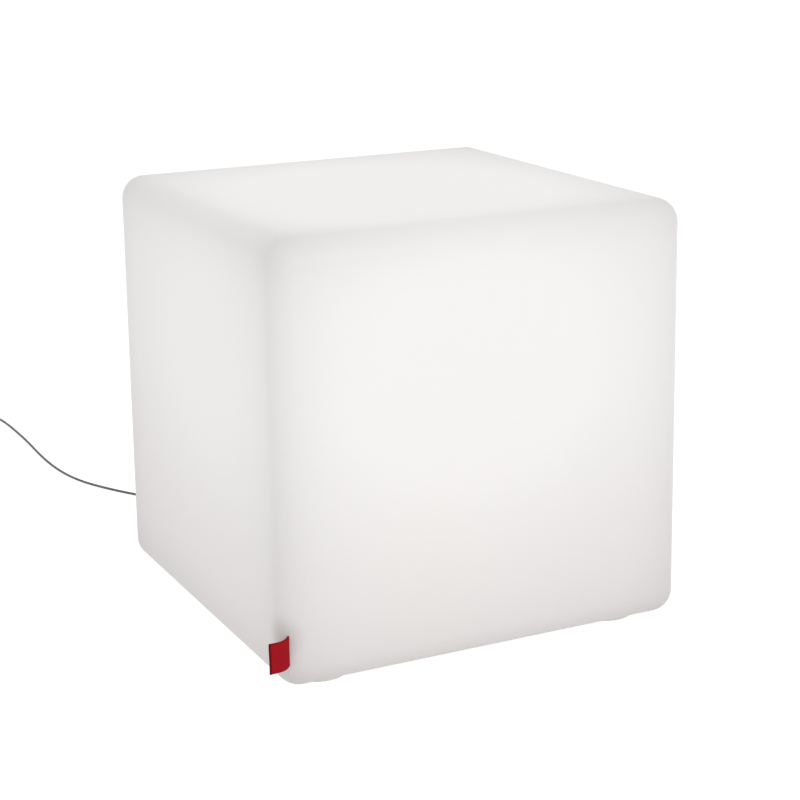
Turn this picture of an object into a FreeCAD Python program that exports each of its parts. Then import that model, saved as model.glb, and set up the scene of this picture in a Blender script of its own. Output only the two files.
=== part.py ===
import FreeCAD, Part
import math
import os
import re

import Sketcher

# A hollow moulded cube that glows evenly: a drafted shell on four feet, a bayonet lamp unit that goes in
# from underneath, and a thin lead with an in-line switch and a plug-in power adapter.
# Millimetres. +Z is up, z = 0 is the floor and the origin lies under the middle of the cube.
# The front face looks along -Y.

SIZES = {
    # the cube
    "cube_width": 440, "cube_height": 430, "draft_angle": 0.3, "edge_radius": 24, "wall": 4,
    "recess_diameter": 170, "recess_depth": 50, "mouth_flare": 3,
    # the feet
    "foot_diameter": 62, "foot_height": 7, "foot_edge": 3, "foot_inset": 57,
    "spigot_diameter": 20, "spigot_height": 5, "foot_boss_diameter": 32, "foot_boss_height": 21,
    "foot_head_diameter": 9, "foot_head_height": 3.2, "foot_screw_diameter": 5,
    "foot_insert_diameter": 8, "foot_insert_length": 10, "counterbore_depth": 4.2,
    # the label
    "label_width": 30, "label_thickness": 1.4, "label_base": 33.5, "label_fold": 2.6,
    # fits
    "fit_gap": 0.1, "run_gap": 0.4, "seat_gap": 0.3, "screw_gap": 0.2,
    # the mounting ring under the recess ceiling
    "ring_reach": 23, "ring_height": 6, "lip_height": 2.5, "notch_angle": 34, "stop_angle": 6,
    "twist_angle": 40, "ring_screw_inset": 8, "ring_screw_diameter": 4, "ring_head_diameter": 8,
    "ring_head_height": 2.4, "ring_insert_diameter": 6, "ring_insert_length": 9,
    "ring_boss_diameter": 14, "ring_boss_height": 9,
    # the cover of the lamp unit
    "collar_diameter": 88, "collar_wall": 3, "collar_rise": 3, "lug_reach": 3.5, "lug_height": 2.4,
    "lug_angle": 26, "flange_reach": 8, "flange_thickness": 4, "gasket_height": 1.6,
    "grip_length": 92, "grip_width": 9, "grip_depth": 18,
    # the driver board and its can
    "board_gap": 4, "board_thickness": 1.6, "board_rise": 9, "board_screw_inset": 5,
    "board_boss_diameter": 7, "small_screw_diameter": 2.8, "small_head_diameter": 5.5,
    "small_head_height": 2, "small_screw_length": 7, "can_height": 34, "can_wall": 2, "can_spigot": 5,
    "coil_diameter": 16, "coil_hole": 6, "coil_height": 11, "capacitor_diameter": 10,
    "capacitor_height": 16, "chip_length": 8, "chip_width": 6, "chip_height": 2,
    "terminal_length": 12, "terminal_width": 9, "terminal_height": 10,
    # the post, heat sink and light source
    "post_diameter": 22, "post_bore": 17, "post_height": 72, "post_flange_diameter": 42,
    "post_flange_thickness": 3, "post_screw_circle": 33, "sink_diameter": 76, "sink_thickness": 5,
    "hub_height": 20, "hub_wall": 5, "fin_thickness": 2, "fin_height": 16, "fin_count": 12,
    "pad_diameter": 58, "pad_thickness": 0.5, "led_board_diameter": 60, "led_board_thickness": 1.6,
    "led_board_hole": 16, "led_screw_circle": 50, "led_circle": 36, "led_size": 5, "led_height": 1.6,
    "led_count": 8, "dome_diameter": 69, "dome_wall": 2, "dome_side": 10, "dome_rim": 3,
    "dome_rim_height": 1.5, "dome_ring_wall": 1.8, "dome_ring_skirt": 4, "dome_ring_lip": 1.5,
    "wire_diameter": 1.6, "wire_spread": 4, "wire_back": 5, "wire_rise": 5, "wire_bend": 2,
    # the cable gland
    "gland_flats": 17, "gland_hex_height": 4, "gland_thread_diameter": 12, "gland_thread_length": 9,
    "gland_neck_diameter": 10.4, "gland_neck_length": 6, "gland_nut_height": 10, "gland_nut_floor": 3.5,
    "locknut_height": 4, "seal_diameter": 8.4,
    # the lead
    "lead_diameter": 3, "floor_gap": 0.1, "coil_turns": 4, "coil_layers": 4, "coil_middle_radius": 18,
    "coil_x": -345, "coil_y": 845,
    # the in-line switch
    "switch_x": -306, "switch_y": 891, "switch_length": 56, "switch_width": 26, "switch_height": 19,
    "switch_split": 9.5, "switch_wall": 2, "switch_edge": 4, "rocker_axis_height": 12.8,
    "rocker_width": 9, "rocker_reach": 10, "rocker_top": 5.2, "rocker_under": 3.5, "rocker_tilt": 9,
    "rocker_pin_diameter": 2, "rocker_pin_length": 14, "cheek_thickness": 2, "cheek_length": 6,
    "cheek_cap": 2.6, "window_length": 19.4, "window_gap": 0.6, "switch_screw_x": 21,
    "switch_screw_y": 7.6, "switch_post_diameter": 6, "contact_height": 5.3, "contact_x": 6.5,
    "relief_length": 18, "relief_diameter": 8, "relief_tip_diameter": 5, "relief_axis_height": 5,
    "relief_neck_diameter": 4.4, "relief_flange_diameter": 5.6, "relief_flange": 1.5,
    # the plug-in power adapter
    "adapter_x": -259, "adapter_y": 790, "adapter_length": 62, "adapter_depth": 30,
    "adapter_height": 42, "adapter_split": 18, "adapter_wall": 2.5, "adapter_edge": 5,
    "adapter_relief_height": 6, "pin_diameter": 4, "pin_length": 19, "pin_spacing": 18.6,
    "pin_tip": 1, "pin_root": 5, "pin_sleeve_diameter": 3.4, "pin_sleeve_length": 10,
    "adapter_board_thickness": 1.6, "transformer_length": 24,
    "transformer_height": 22, "transformer_depth": 9, "adapter_capacitor_diameter": 10,
    "adapter_capacitor_length": 9, "adapter_screw_x": 20, "adapter_screw_z": 14,
    "adapter_post_diameter": 7,
}

FOOT_CORNERS = {
    "foot_front_left": (-1, -1), "foot_front_right": (1, -1),
    "foot_back_left": (-1, 1), "foot_back_right": (1, 1),
}

# Levels up the lamp unit, each worked out from the one below it.
CEILING = "(foot_height + recess_depth)"
CEILING_TOP = f"({CEILING} + wall)"
RING_BASE = f"({CEILING} - ring_height)"
LIP_TOP = f"({RING_BASE} + lip_height)"
FLANGE_TOP = f"({RING_BASE} - seat_gap - gasket_height)"
FLANGE_BASE = f"({FLANGE_TOP} - flange_thickness)"
FLANGE_RADIUS = "(collar_diameter / 2 + flange_reach)"
RING_RADIUS = "(collar_diameter / 2 + ring_reach)"
BOARD_RADIUS = "(collar_diameter / 2 - collar_wall - board_gap)"
COLLAR_TOP = f"({CEILING_TOP} + collar_rise)"
BOARD_BASE = f"({FLANGE_TOP} + board_rise)"
BOARD_TOP = f"({BOARD_BASE} + board_thickness)"
CAN_TOP = f"({COLLAR_TOP} + can_height)"
POST_TOP = f"({CAN_TOP} + post_height)"
SINK_TOP = f"({POST_TOP} + sink_thickness)"
PAD_TOP = f"({SINK_TOP} + pad_thickness)"
LED_BOARD_TOP = f"({PAD_TOP} + led_board_thickness)"
GLAND_MOUTH = f"({FLANGE_BASE} - gland_hex_height - gland_nut_height)"

doc = FreeCAD.newDocument("cube_light")
sheet = doc.addObject("Spreadsheet::Sheet", "dim")
for row, (alias, number) in enumerate(SIZES.items(), start=1):
    sheet.set(f"A{row}", alias)
    sheet.set(f"B{row}", str(number))
    sheet.setAlias(f"B{row}", alias)
doc.recompute()

nodes = {}


def words(expression):
    """Put the sheet's name before every alias in an expression."""
    return re.sub(r"[a-z_]+", lambda m: f"dim.{m[0]}" if m[0] in SIZES else m[0], str(expression))


def value(expression):
    return float(sheet.evalExpression(words(expression)))


def bind(thing, **properties):
    for name, expression in properties.items():
        thing.setExpression(name, words(expression))


def place(thing, x="0", y="0", z="0", turn=0, axis=(0, 0, 1)):
    """Put a thing at bound coordinates, turned by a fixed angle about an axis."""
    thing.Placement = FreeCAD.Placement(FreeCAD.Vector(), FreeCAD.Rotation(FreeCAD.Vector(*axis), turn))
    for letter, expression in zip("xyz", (x, y, z)):
        if str(expression) != "0":
            thing.setExpression(f"Placement.Base.{letter}", words(expression))
    return thing


def node(name, thing):
    thing.Label = name
    nodes[name] = thing
    return thing


def add(kind, name, **properties):
    thing = doc.addObject(kind, name)
    bind(thing, **properties)
    return thing


def rod(name, radius, low, high, x="0", y="0"):
    """An upright round bar between two levels."""
    return place(add("Part::Cylinder", name, Radius=radius, Height=f"({high}) - ({low})"), x, y, low)


def rod_along(name, radius, length, x, y, z, axis):
    """A round bar that starts at a point and lies along X or Y."""
    turned_to = {"x": (90, (0, 1, 0)), "y": (-90, (1, 0, 0))}[axis]
    return place(add("Part::Cylinder", name, Radius=radius, Height=length), x, y, z, *turned_to)


def wedge(name, radius, angle, low, high, start):
    """An upright sector of a disc; start is its first side's angle in degrees."""
    piece = add("Part::Cylinder", name, Radius=radius, Height=f"({high}) - ({low})", Angle=angle)
    piece = place(piece, z=low)
    bind(piece, **{"Placement.Rotation.Angle": start})
    return piece


def box(name, length, width, height, x="0", y="0", z="0"):
    """A box centred in plan on x and y, with its underside at z."""
    piece = add("Part::Box", name, Length=length, Width=width, Height=height)
    return place(piece, f"({x}) - ({length}) / 2", f"({y}) - ({width}) / 2", z)


def fuse(name, *pieces):
    joined = doc.addObject("Part::MultiFuse", name)
    joined.Shapes = list(pieces)
    return joined


def cut(name, base, *tools):
    made = doc.addObject("Part::Cut", name)
    made.Base = base
    made.Tool = tools[0] if len(tools) == 1 else fuse(f"{name}_tools", *tools)
    return made


def group(name, pieces):
    """Identical fasteners in one node, each its own solid."""
    together = doc.addObject("Part::Compound", name)
    together.Links = list(pieces)
    return node(name, together)


def new_sketch(body, name, role):
    sketch = body.newObject("Sketcher::SketchObject", name)
    plane = next(item for item in body.Origin.OriginFeatures if item.Role == role)
    sketch.AttachmentSupport = [(plane, "")]
    sketch.MapMode = "FlatFace"
    return sketch


def outline(sketch, corners):
    """Close a loop of straight edges and tie each corner to the sheet."""
    points = [FreeCAD.Vector(value(across), value(up), 0) for across, up in corners]
    for index, point in enumerate(points):
        sketch.addGeometry(Part.LineSegment(point, points[(index + 1) % len(points)]))
    for index, corner in enumerate(corners):
        sketch.addConstraint(Sketcher.Constraint("Coincident", index, 2, (index + 1) % len(points), 1))
        for kind, ruler, expression in (("DistanceX", -2, corner[0]), ("DistanceY", -1, corner[1])):
            if str(expression) == "0":
                sketch.addConstraint(Sketcher.Constraint("PointOnObject", index, 1, ruler))
                continue
            amount = value(expression)
            number = sketch.addConstraint(Sketcher.Constraint(kind, -1, 1, index, 1, amount))
            sketch.setExpression(f"Constraints[{number}]", words(expression))


def soften(body, feature, radius, wanted):
    """Round the edges of a feature that the test picks out."""
    doc.recompute()
    chosen = [f"Edge{i}" for i, edge in enumerate(feature.Shape.Edges, start=1) if wanted(edge)]
    rounded = body.newObject("PartDesign::Fillet", f"{body.Name}_round")
    rounded.Base = (feature, chosen)
    bind(rounded, Radius=radius)
    return rounded


def turned(name, profile):
    """A body turned about its upright axis from a closed profile of (radius, height)."""
    body = doc.addObject("PartDesign::Body", name)
    sketch = new_sketch(body, f"{name}_profile", "XZ_Plane")
    outline(sketch, profile)
    spun = body.newObject("PartDesign::Revolution", f"{name}_turned")
    spun.Profile = sketch
    spun.ReferenceAxis = (sketch, ["V_Axis"])
    spun.Angle = 360
    return body


def plate(name, corners, thickness, role, draft="0"):
    """A body of one thickness; it grows up from XY_Plane and both ways from XZ_Plane."""
    body = doc.addObject("PartDesign::Body", name)
    sketch = new_sketch(body, f"{name}_plan", role)
    outline(sketch, corners)
    pad = body.newObject("PartDesign::Pad", f"{name}_pad")
    pad.Profile = sketch
    pad.Midplane = role == "XZ_Plane"
    bind(pad, Length=thickness, TaperAngle=f"-({draft})")
    return body, pad


def block(name, length, width, height, radius, wanted, draft="0"):
    """A box centred in plan, with chosen edges rounded and its sides drafted inwards."""
    half_length = f"({length}) / 2"
    half_width = f"({width}) / 2"
    corners = [
        (f"-{half_length}", f"-{half_width}"), (half_length, f"-{half_width}"),
        (half_length, half_width), (f"-{half_length}", half_width),
    ]
    body, pad = plate(name, corners, height, "XY_Plane", draft)
    soften(body, pad, radius, wanted)
    return body


def lies_along(letter):
    """A test for straight edges along one axis."""
    def test(edge):
        way = edge.tangentAt(edge.FirstParameter)
        return abs(getattr(way, letter)) > 0.99
    return test


def every_edge(edge):
    return True


def screw(name, head_diameter, head_height, shank_diameter, length, x, y, z, way=1):
    """A round headed screw; z is the seat under its head and way is +1 with the shank upwards."""
    profile = [
        ("0", f"-({head_height})"), (f"({head_diameter}) / 2", f"-({head_height})"),
        (f"({head_diameter}) / 2", "0"), (f"({shank_diameter}) / 2", "0"),
        (f"({shank_diameter}) / 2", length), ("0", length),
    ]
    flip = 0 if way == 1 else 180
    blank = place(turned(f"{name}_blank", profile), x, y, z, flip, (1, 0, 0))
    socket = add("Part::Prism", f"{name}_socket", Circumradius=f"({shank_diameter}) / 3",
                 Height=f"({head_height}) * 0.6")
    low = f"({z}) - ({head_height})" if way == 1 else f"({z}) + ({head_height}) * 0.4"
    return cut(name, blank, place(socket, x, y, low))


def nut(name, flats, low, high):
    """A six sided bar on the axis, its size given across the flats."""
    bar = add("Part::Prism", name, Circumradius=f"({flats}) / sqrt(3)", Height=f"({high}) - ({low})")
    return place(bar, z=low)


def rounded_path(points, bend_limit=None):
    """Straight runs joined by tangent arcs, each as large as its two runs allow."""
    points = [FreeCAD.Vector(*point) for point in points]
    edges, radii = [], []
    start = points[0]
    for before, corner, after in zip(points, points[1:], points[2:]):
        back = (before - corner).normalize()
        ahead = (after - corner).normalize()
        half_turn = (math.pi - back.getAngle(ahead)) / 2
        reach = 0.45 * min((before - corner).Length, (after - corner).Length)
        radius = reach / math.tan(half_turn)
        if bend_limit and radius > bend_limit:
            radius = bend_limit
            reach = radius * math.tan(half_turn)
        middle_way = (back + ahead).normalize()
        middle = corner + middle_way * (radius / math.cos(half_turn) - radius)
        first, last = corner + back * reach, corner + ahead * reach
        edges.append(Part.LineSegment(start, first).toShape())
        edges.append(Part.Arc(first, middle, last).toShape())
        radii.append(radius)
        start = last
    edges.append(Part.LineSegment(start, points[-1]).toShape())
    return Part.Wire(edges), radii


def tube(name, points, diameter, bend_limit=None):
    """A round tube along a rounded path, as a solid read from the sheet."""
    path, radii = rounded_path(points, bend_limit)
    way = FreeCAD.Vector(*points[1]) - FreeCAD.Vector(*points[0])
    rim = Part.Wire(Part.makeCircle(diameter / 2, FreeCAD.Vector(*points[0]), way))
    shape = path.makePipeShell([rim], True, False)
    section = math.pi * diameter ** 2 / 4
    if abs(shape.Volume / (section * path.Length) - 1) > 0.01:
        raise ValueError(f"{name}: the tube doesn't fill its path")
    print(f"{name}: length {path.Length:.0f} mm, radii {[round(radius) for radius in radii]}")
    thing = doc.addObject("Part::Feature", name)
    thing.Shape = shape
    return node(name, thing)


# Cube shell: rotation moulded in one piece, with a round recess in its underside for the lamp unit.
def make_cube_shell():
    outside = block("shell_outside", "cube_width", "cube_width", "cube_height", "edge_radius",
                    every_edge, "draft_angle")
    place(outside, z="foot_height")
    inside_width = "cube_width - 2 * wall"
    inside = block("shell_inside", inside_width, inside_width, "cube_height - 2 * wall",
                   "edge_radius - wall", every_edge, "draft_angle")
    place(inside, z="foot_height + wall")
    hollow = cut("shell_hollow", outside, inside)
    added = [rod("recess_wall", "recess_diameter / 2 + wall", "foot_height + wall / 2", CEILING_TOP)]
    taken = [turned("recess_space", [
        ("0", "0"), ("recess_diameter / 2 + mouth_flare", "0"),
        ("recess_diameter / 2 + mouth_flare", "foot_height"),
        ("recess_diameter / 2", "foot_height + mouth_flare"), ("recess_diameter / 2", CEILING),
        ("0", CEILING),
    ])]
    neck_radius = "collar_diameter / 2 + lug_reach + run_gap"
    taken.append(rod("neck_space", neck_radius, f"{CEILING} - wall", f"{CEILING_TOP} + wall"))
    for name, (side_x, side_y) in FOOT_CORNERS.items():
        x, y = (f"{side} * (cube_width / 2 - foot_inset)" for side in (side_x, side_y))
        socket_top = "foot_height + spigot_height + seat_gap"
        added.append(rod(f"{name}_boss", "foot_boss_diameter / 2", "foot_height + wall / 2",
                         "foot_height + foot_boss_height", x, y))
        taken.append(rod(f"{name}_socket", "spigot_diameter / 2 + fit_gap", "foot_height - wall",
                         socket_top, x, y))
        taken.append(rod(f"{name}_insert_bore", "foot_insert_diameter / 2 + fit_gap / 2", socket_top,
                         f"{socket_top} + foot_insert_length", x, y))
    for index in range(4):
        x, y = ring_screw_place(index)
        added.append(rod(f"ring_boss_{index}", "ring_boss_diameter / 2", f"{CEILING} + wall / 2",
                         f"{CEILING_TOP} + ring_boss_height", x, y))
        taken.append(rod(f"ring_insert_bore_{index}", "ring_insert_diameter / 2 + fit_gap / 2",
                         f"{CEILING} - wall / 4", f"{CEILING} + ring_insert_length", x, y))
    slit = add("Part::Box", "label_slit", Length="wall * 3",
               Width="label_thickness + 2 * screw_gap", Height="label_width + 2 * screw_gap")
    place(slit, turn=225)
    shift = "(label_thickness / 2 + screw_gap) / sqrt(2)"
    bind(slit, **{
        "Placement.Base.x": f"{label_start()} + wall / sqrt(2) - {shift}",
        "Placement.Base.y": f"{label_start()} + wall / sqrt(2) + {shift}",
        "Placement.Base.z": "label_base - screw_gap",
    })
    whole = fuse("shell_whole", hollow, *added)
    node("cube_shell", cut("cube_shell", whole, slit, *taken))


def ring_screw_place(index):
    """The four screws of the mounting ring lie on the diagonals."""
    angle = 45 + 90 * index
    reach = f"({RING_RADIUS} - ring_screw_inset)"
    return f"{reach} * cos({angle} deg)", f"{reach} * sin({angle} deg)"


# Feet: moulded pads, each on a spigot in the shell, with a screw into a brass insert.
def make_feet():
    screws, inserts = [], []
    spigot_top = "foot_height + spigot_height"
    screw_hole = "foot_screw_diameter / 2 + screw_gap"
    head_hole = "foot_head_diameter / 2 + 2 * screw_gap"
    for name, (side_x, side_y) in FOOT_CORNERS.items():
        x, y = (f"{side} * (cube_width / 2 - foot_inset)" for side in (side_x, side_y))
        body = turned(name, [
            (head_hole, "0"), ("foot_diameter / 2", "0"), ("foot_diameter / 2", "foot_height"),
            ("spigot_diameter / 2", "foot_height"), ("spigot_diameter / 2", spigot_top),
            (screw_hole, spigot_top), (screw_hole, "counterbore_depth"),
            (head_hole, "counterbore_depth"),
        ])
        rim = value("foot_diameter / 2")
        soften(body, body.Tip, "foot_edge", lambda edge: is_circle(edge, rim, 0))
        node(name, place(body, x, y))
        shank = f"{spigot_top} + foot_insert_length - 2 * seat_gap - counterbore_depth"
        screws.append(screw(f"{name}_screw", "foot_head_diameter", "foot_head_height",
                            "foot_screw_diameter", shank, x, y, "counterbore_depth"))
        bore = turned(f"{name}_insert", [
            ("foot_screw_diameter / 2 + fit_gap / 2", "0"), ("foot_insert_diameter / 2", "0"),
            ("foot_insert_diameter / 2", "foot_insert_length"),
            ("foot_screw_diameter / 2 + fit_gap / 2", "foot_insert_length"),
        ])
        inserts.append(place(bore, x, y, f"{spigot_top} + seat_gap"))
    group("foot_screws", screws)
    group("foot_inserts", inserts)


def is_circle(edge, radius, level):
    curve = edge.Curve
    if not isinstance(curve, Part.Circle):
        return False
    return abs(curve.Radius - radius) < 1e-6 and abs(curve.Center.z - level) < 1e-6


# Label: a folded woven ribbon whose tails are held in the slit; it leaves the corner and bends left.
def label_start():
    """X and Y alike of the point on the inner face of the rounded front left edge."""
    return "(-(cube_width / 2 - edge_radius) - (edge_radius - wall) / sqrt(2))"


def make_label():
    runs = [(225, "wall + 2.6"), (207, "6.5"), (192, "7"), (183, "7.5")]
    x = y = label_start()
    pieces = []
    for index, (way, length) in enumerate(runs):
        flap = add("Part::Box", f"label_flap_{index}", Length=length, Width="label_thickness",
                   Height="label_width")
        place(flap, turn=way)
        bind(flap, **{
            "Placement.Base.x": f"{x} + label_thickness / 2 * sin({way} deg)",
            "Placement.Base.y": f"{y} - label_thickness / 2 * cos({way} deg)",
            "Placement.Base.z": "label_base",
        })
        pieces.append(flap)
        x = f"({x} + ({length}) * cos({way} deg))"
        y = f"({y} + ({length}) * sin({way} deg))"
        last = index == len(runs) - 1
        radius = "label_fold / 2" if last else "label_thickness / 2"
        pieces.append(rod(f"label_bend_{index}", radius, "label_base", "label_base + label_width", x, y))
    node("label_tag", fuse("label_tag", *pieces))


# Mounting ring: screwed under the recess ceiling; three lugs of the lamp unit turn in above its lip.
def make_mounting_ring():
    lip_radius = "collar_diameter / 2 + run_gap"
    room_radius = "collar_diameter / 2 + lug_reach + run_gap"
    base = turned("ring_blank", [
        (lip_radius, RING_BASE), (RING_RADIUS, RING_BASE), (RING_RADIUS, CEILING),
        (room_radius, CEILING), (room_radius, LIP_TOP), (lip_radius, LIP_TOP),
    ])
    stops, holes, screws, inserts = [], [], [], []
    for index in range(3):
        middle = 90 + 120 * index
        holes.append(wedge(f"ring_notch_{index}", room_radius, "notch_angle", f"{RING_BASE} - wall",
                           CEILING, f"{middle} - twist_angle - notch_angle / 2"))
        locked_stop = f"{middle} + lug_angle / 2 + seat_gap"
        open_stop = f"{middle} - twist_angle - lug_angle / 2 - seat_gap - stop_angle"
        for side, start in (("locked", locked_stop), ("open", open_stop)):
            stops.append(wedge(f"ring_{side}_{index}", f"{room_radius} + wall / 2", "stop_angle",
                               f"{LIP_TOP} - lip_height / 2", CEILING, start))
    hollow_core = rod("ring_stop_core", lip_radius, RING_BASE, CEILING_TOP)
    stops = cut("ring_stops", fuse("ring_stop_blanks", *stops), hollow_core)
    head_seat = RING_BASE
    for index in range(4):
        x, y = ring_screw_place(index)
        holes.append(rod(f"ring_hole_{index}", "ring_screw_diameter / 2 + screw_gap",
                         f"{RING_BASE} - wall", CEILING_TOP, x, y))
        screws.append(screw(f"ring_screw_{index}", "ring_head_diameter", "ring_head_height",
                            "ring_screw_diameter", "ring_height + ring_insert_length - seat_gap",
                            x, y, head_seat))
        insert = turned(f"ring_insert_{index}", [
            ("ring_screw_diameter / 2 + fit_gap / 2", CEILING), ("ring_insert_diameter / 2", CEILING),
            ("ring_insert_diameter / 2", f"{CEILING} + ring_insert_length"),
            ("ring_screw_diameter / 2 + fit_gap / 2", f"{CEILING} + ring_insert_length"),
        ])
        inserts.append(place(insert, x, y))
    notched = cut("ring_notched", base, *holes)
    node("mounting_ring", fuse("mounting_ring", notched, stops))
    group("ring_screws", screws)
    group("ring_inserts", inserts)


# Cover of the lamp unit: flange, collar with three lugs, grip bar, and bosses for the driver board.
def board_screw_place(index):
    angle = 30 + 120 * index
    reach = f"({BOARD_RADIUS} - board_screw_inset)"
    return f"{reach} * cos({angle} deg)", f"{reach} * sin({angle} deg)"


def make_cover():
    added = [
        rod("cover_flange", FLANGE_RADIUS, FLANGE_BASE, FLANGE_TOP),
        rod("cover_collar", "collar_diameter / 2", f"{FLANGE_TOP} - flange_thickness / 2", COLLAR_TOP),
    ]
    for index in range(3):
        added.append(wedge(f"cover_lug_{index}", "collar_diameter / 2 + lug_reach", "lug_angle",
                           f"{LIP_TOP} + run_gap", f"{LIP_TOP} + run_gap + lug_height",
                           f"{90 + 120 * index} - lug_angle / 2"))
    body = cut("cover_hollow", fuse("cover_blank", *added),
               rod("cover_space", "collar_diameter / 2 - collar_wall", FLANGE_TOP,
                   f"{COLLAR_TOP} + wall"))
    bosses, holes = [], []
    for index in range(3):
        x, y = board_screw_place(index)
        bosses.append(rod(f"board_boss_{index}", "board_boss_diameter / 2",
                          f"{FLANGE_TOP} - flange_thickness / 2", BOARD_BASE, x, y))
        holes.append(rod(f"board_pilot_{index}", "small_screw_diameter / 2 + fit_gap / 2",
                         f"{BOARD_BASE} - small_screw_length", f"{BOARD_BASE} + wall", x, y))
    grip = box("cover_grip", "grip_length", "grip_width", f"grip_depth + flange_thickness / 2",
               z=f"{FLANGE_BASE} - grip_depth")
    holes.append(rod("grip_gap", "gland_flats / sqrt(3) + 2", f"{FLANGE_BASE} - grip_depth - wall",
                     FLANGE_BASE))
    holes.append(rod("gland_hole", "gland_thread_diameter / 2 + fit_gap", f"{FLANGE_BASE} - wall",
                     f"{FLANGE_TOP} + wall"))
    whole = fuse("cover_whole", body, grip, *bosses)
    node("lamp_cover", cut("lamp_cover", whole, *holes))
    ring = turned("cover_gasket", [
        ("collar_diameter / 2 + fit_gap", FLANGE_TOP), (f"{FLANGE_RADIUS} - 1", FLANGE_TOP),
        (f"{FLANGE_RADIUS} - 1", f"{FLANGE_TOP} + gasket_height"),
        ("collar_diameter / 2 + fit_gap", f"{FLANGE_TOP} + gasket_height"),
    ])
    node("cover_gasket", ring)


# Cable gland on the unit's axis, so that the lead only twists when the unit is turned out.
def make_gland():
    hex_base = f"({FLANGE_BASE} - gland_hex_height)"
    neck_base = f"({hex_base} - gland_neck_length)"
    thread_top = f"({FLANGE_BASE} + gland_thread_length)"
    stem = rod("gland_stem", "gland_thread_diameter / 2", hex_base, thread_top)
    neck = rod("gland_neck", "gland_neck_diameter / 2", neck_base, FLANGE_BASE)
    bar = nut("gland_hex", "gland_flats", hex_base, FLANGE_BASE)
    bore = rod("gland_bore", "lead_diameter / 2 + screw_gap", neck_base, f"{thread_top} + wall")
    seat = rod("gland_seal_seat", "seal_diameter / 2 + fit_gap / 2", f"{neck_base} - wall",
               f"{hex_base}")
    node("gland_body", cut("gland_body", fuse("gland_blank", stem, neck, bar), bore, seat))
    node("gland_seal", turned("gland_seal", [
        ("lead_diameter / 2 + fit_gap / 2", neck_base), ("seal_diameter / 2", neck_base),
        ("seal_diameter / 2", hex_base), ("lead_diameter / 2 + fit_gap / 2", hex_base),
    ]))
    cap = nut("gland_nut_bar", "gland_flats", GLAND_MOUTH, f"{hex_base} - fit_gap")
    space = rod("gland_nut_space", "gland_neck_diameter / 2 + fit_gap / 2",
                f"{GLAND_MOUTH} + gland_nut_floor", f"{hex_base} + wall")
    hole = rod("gland_nut_hole", "lead_diameter / 2 + screw_gap", f"{GLAND_MOUTH} - wall", hex_base)
    node("gland_nut", cut("gland_nut", cap, space, hole))
    bar = nut("locknut_bar", "gland_flats", FLANGE_TOP, f"{FLANGE_TOP} + locknut_height")
    hole = rod("locknut_hole", "gland_thread_diameter / 2 + fit_gap / 2", f"{FLANGE_TOP} - wall",
               f"{FLANGE_TOP} + locknut_height + wall")
    node("gland_locknut", cut("gland_locknut", bar, hole))


# Driver board: a round board with its coil, capacitors, chip and terminals, on the cover's bosses.
def make_driver():
    blank = rod("driver_board_blank", BOARD_RADIUS, BOARD_BASE, BOARD_TOP)
    holes = [rod("driver_lead_hole", "lead_diameter / 2 + 2 * screw_gap", FLANGE_TOP,
                 f"{BOARD_TOP} + wall")]
    screws = []
    for index in range(3):
        x, y = board_screw_place(index)
        holes.append(rod(f"driver_hole_{index}", "small_screw_diameter / 2 + screw_gap",
                         f"{BOARD_BASE} - wall", f"{BOARD_TOP} + wall", x, y))
        screws.append(screw(f"driver_screw_{index}", "small_head_diameter", "small_head_height",
                            "small_screw_diameter", "small_screw_length", x, y, BOARD_TOP, -1))
    node("driver_board", cut("driver_board", blank, *holes))
    group("driver_screws", screws)
    coil = turned("driver_coil", [
        ("coil_hole / 2", "0"), ("coil_diameter / 2", "0"), ("coil_diameter / 2", "coil_height"),
        ("coil_hole / 2", "coil_height"),
    ])
    node("driver_coil", place(coil, "-coil_diameter", "2", BOARD_TOP))
    cans = []
    for index, (x, y, share) in enumerate(((17, 4, 1), (16, -14, 0.8))):
        cans.append(rod(f"capacitor_{index}", f"capacitor_diameter / 2 * {share}", BOARD_TOP,
                        f"{BOARD_TOP} + capacitor_height * {share}", str(x), str(y)))
    group("driver_capacitors", cans)
    node("driver_chip", box("driver_chip", "chip_length", "chip_width", "chip_height", y="-19",
                            z=BOARD_TOP))
    terminal = box("terminal_body", "terminal_length", "terminal_width", "terminal_height", y="23",
                   z=BOARD_TOP)
    wells = [rod(f"terminal_well_{side}", "small_screw_diameter / 2",
                 f"{BOARD_TOP} + terminal_height / 2", f"{BOARD_TOP} + terminal_height + wall",
                 f"{side} * terminal_length / 4", "25") for side in (-1, 1)]
    node("terminal_block", cut("terminal_block", terminal, *wells))


# Driver can: a moulded cup that closes the collar and carries the lamp post.
def post_screw_place(index):
    angle = 90 + 120 * index
    return f"post_screw_circle / 2 * cos({angle} deg)", f"post_screw_circle / 2 * sin({angle} deg)"


def make_can():
    inside = "collar_diameter / 2 - collar_wall - fit_gap - can_wall"
    cup = turned("can_cup", [
        (inside, f"{COLLAR_TOP} - can_spigot"),
        ("collar_diameter / 2 - collar_wall - fit_gap", f"{COLLAR_TOP} - can_spigot"),
        ("collar_diameter / 2 - collar_wall - fit_gap", COLLAR_TOP),
        ("collar_diameter / 2", COLLAR_TOP), ("collar_diameter / 2", CAN_TOP),
        ("post_bore / 2", CAN_TOP), ("post_bore / 2", f"{CAN_TOP} - can_wall"),
        (inside, f"{CAN_TOP} - can_wall"),
    ])
    bosses, holes = [], []
    for index in range(3):
        x, y = post_screw_place(index)
        bosses.append(rod(f"can_boss_{index}", "board_boss_diameter / 2",
                          f"{CAN_TOP} - small_screw_length - can_wall", f"{CAN_TOP} - can_wall / 2",
                          x, y))
        holes.append(rod(f"can_pilot_{index}", "small_screw_diameter / 2 + fit_gap / 2",
                         f"{CAN_TOP} - small_screw_length", f"{CAN_TOP} + wall", x, y))
    node("driver_can", cut("driver_can", fuse("can_whole", cup, *bosses), *holes))


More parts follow.
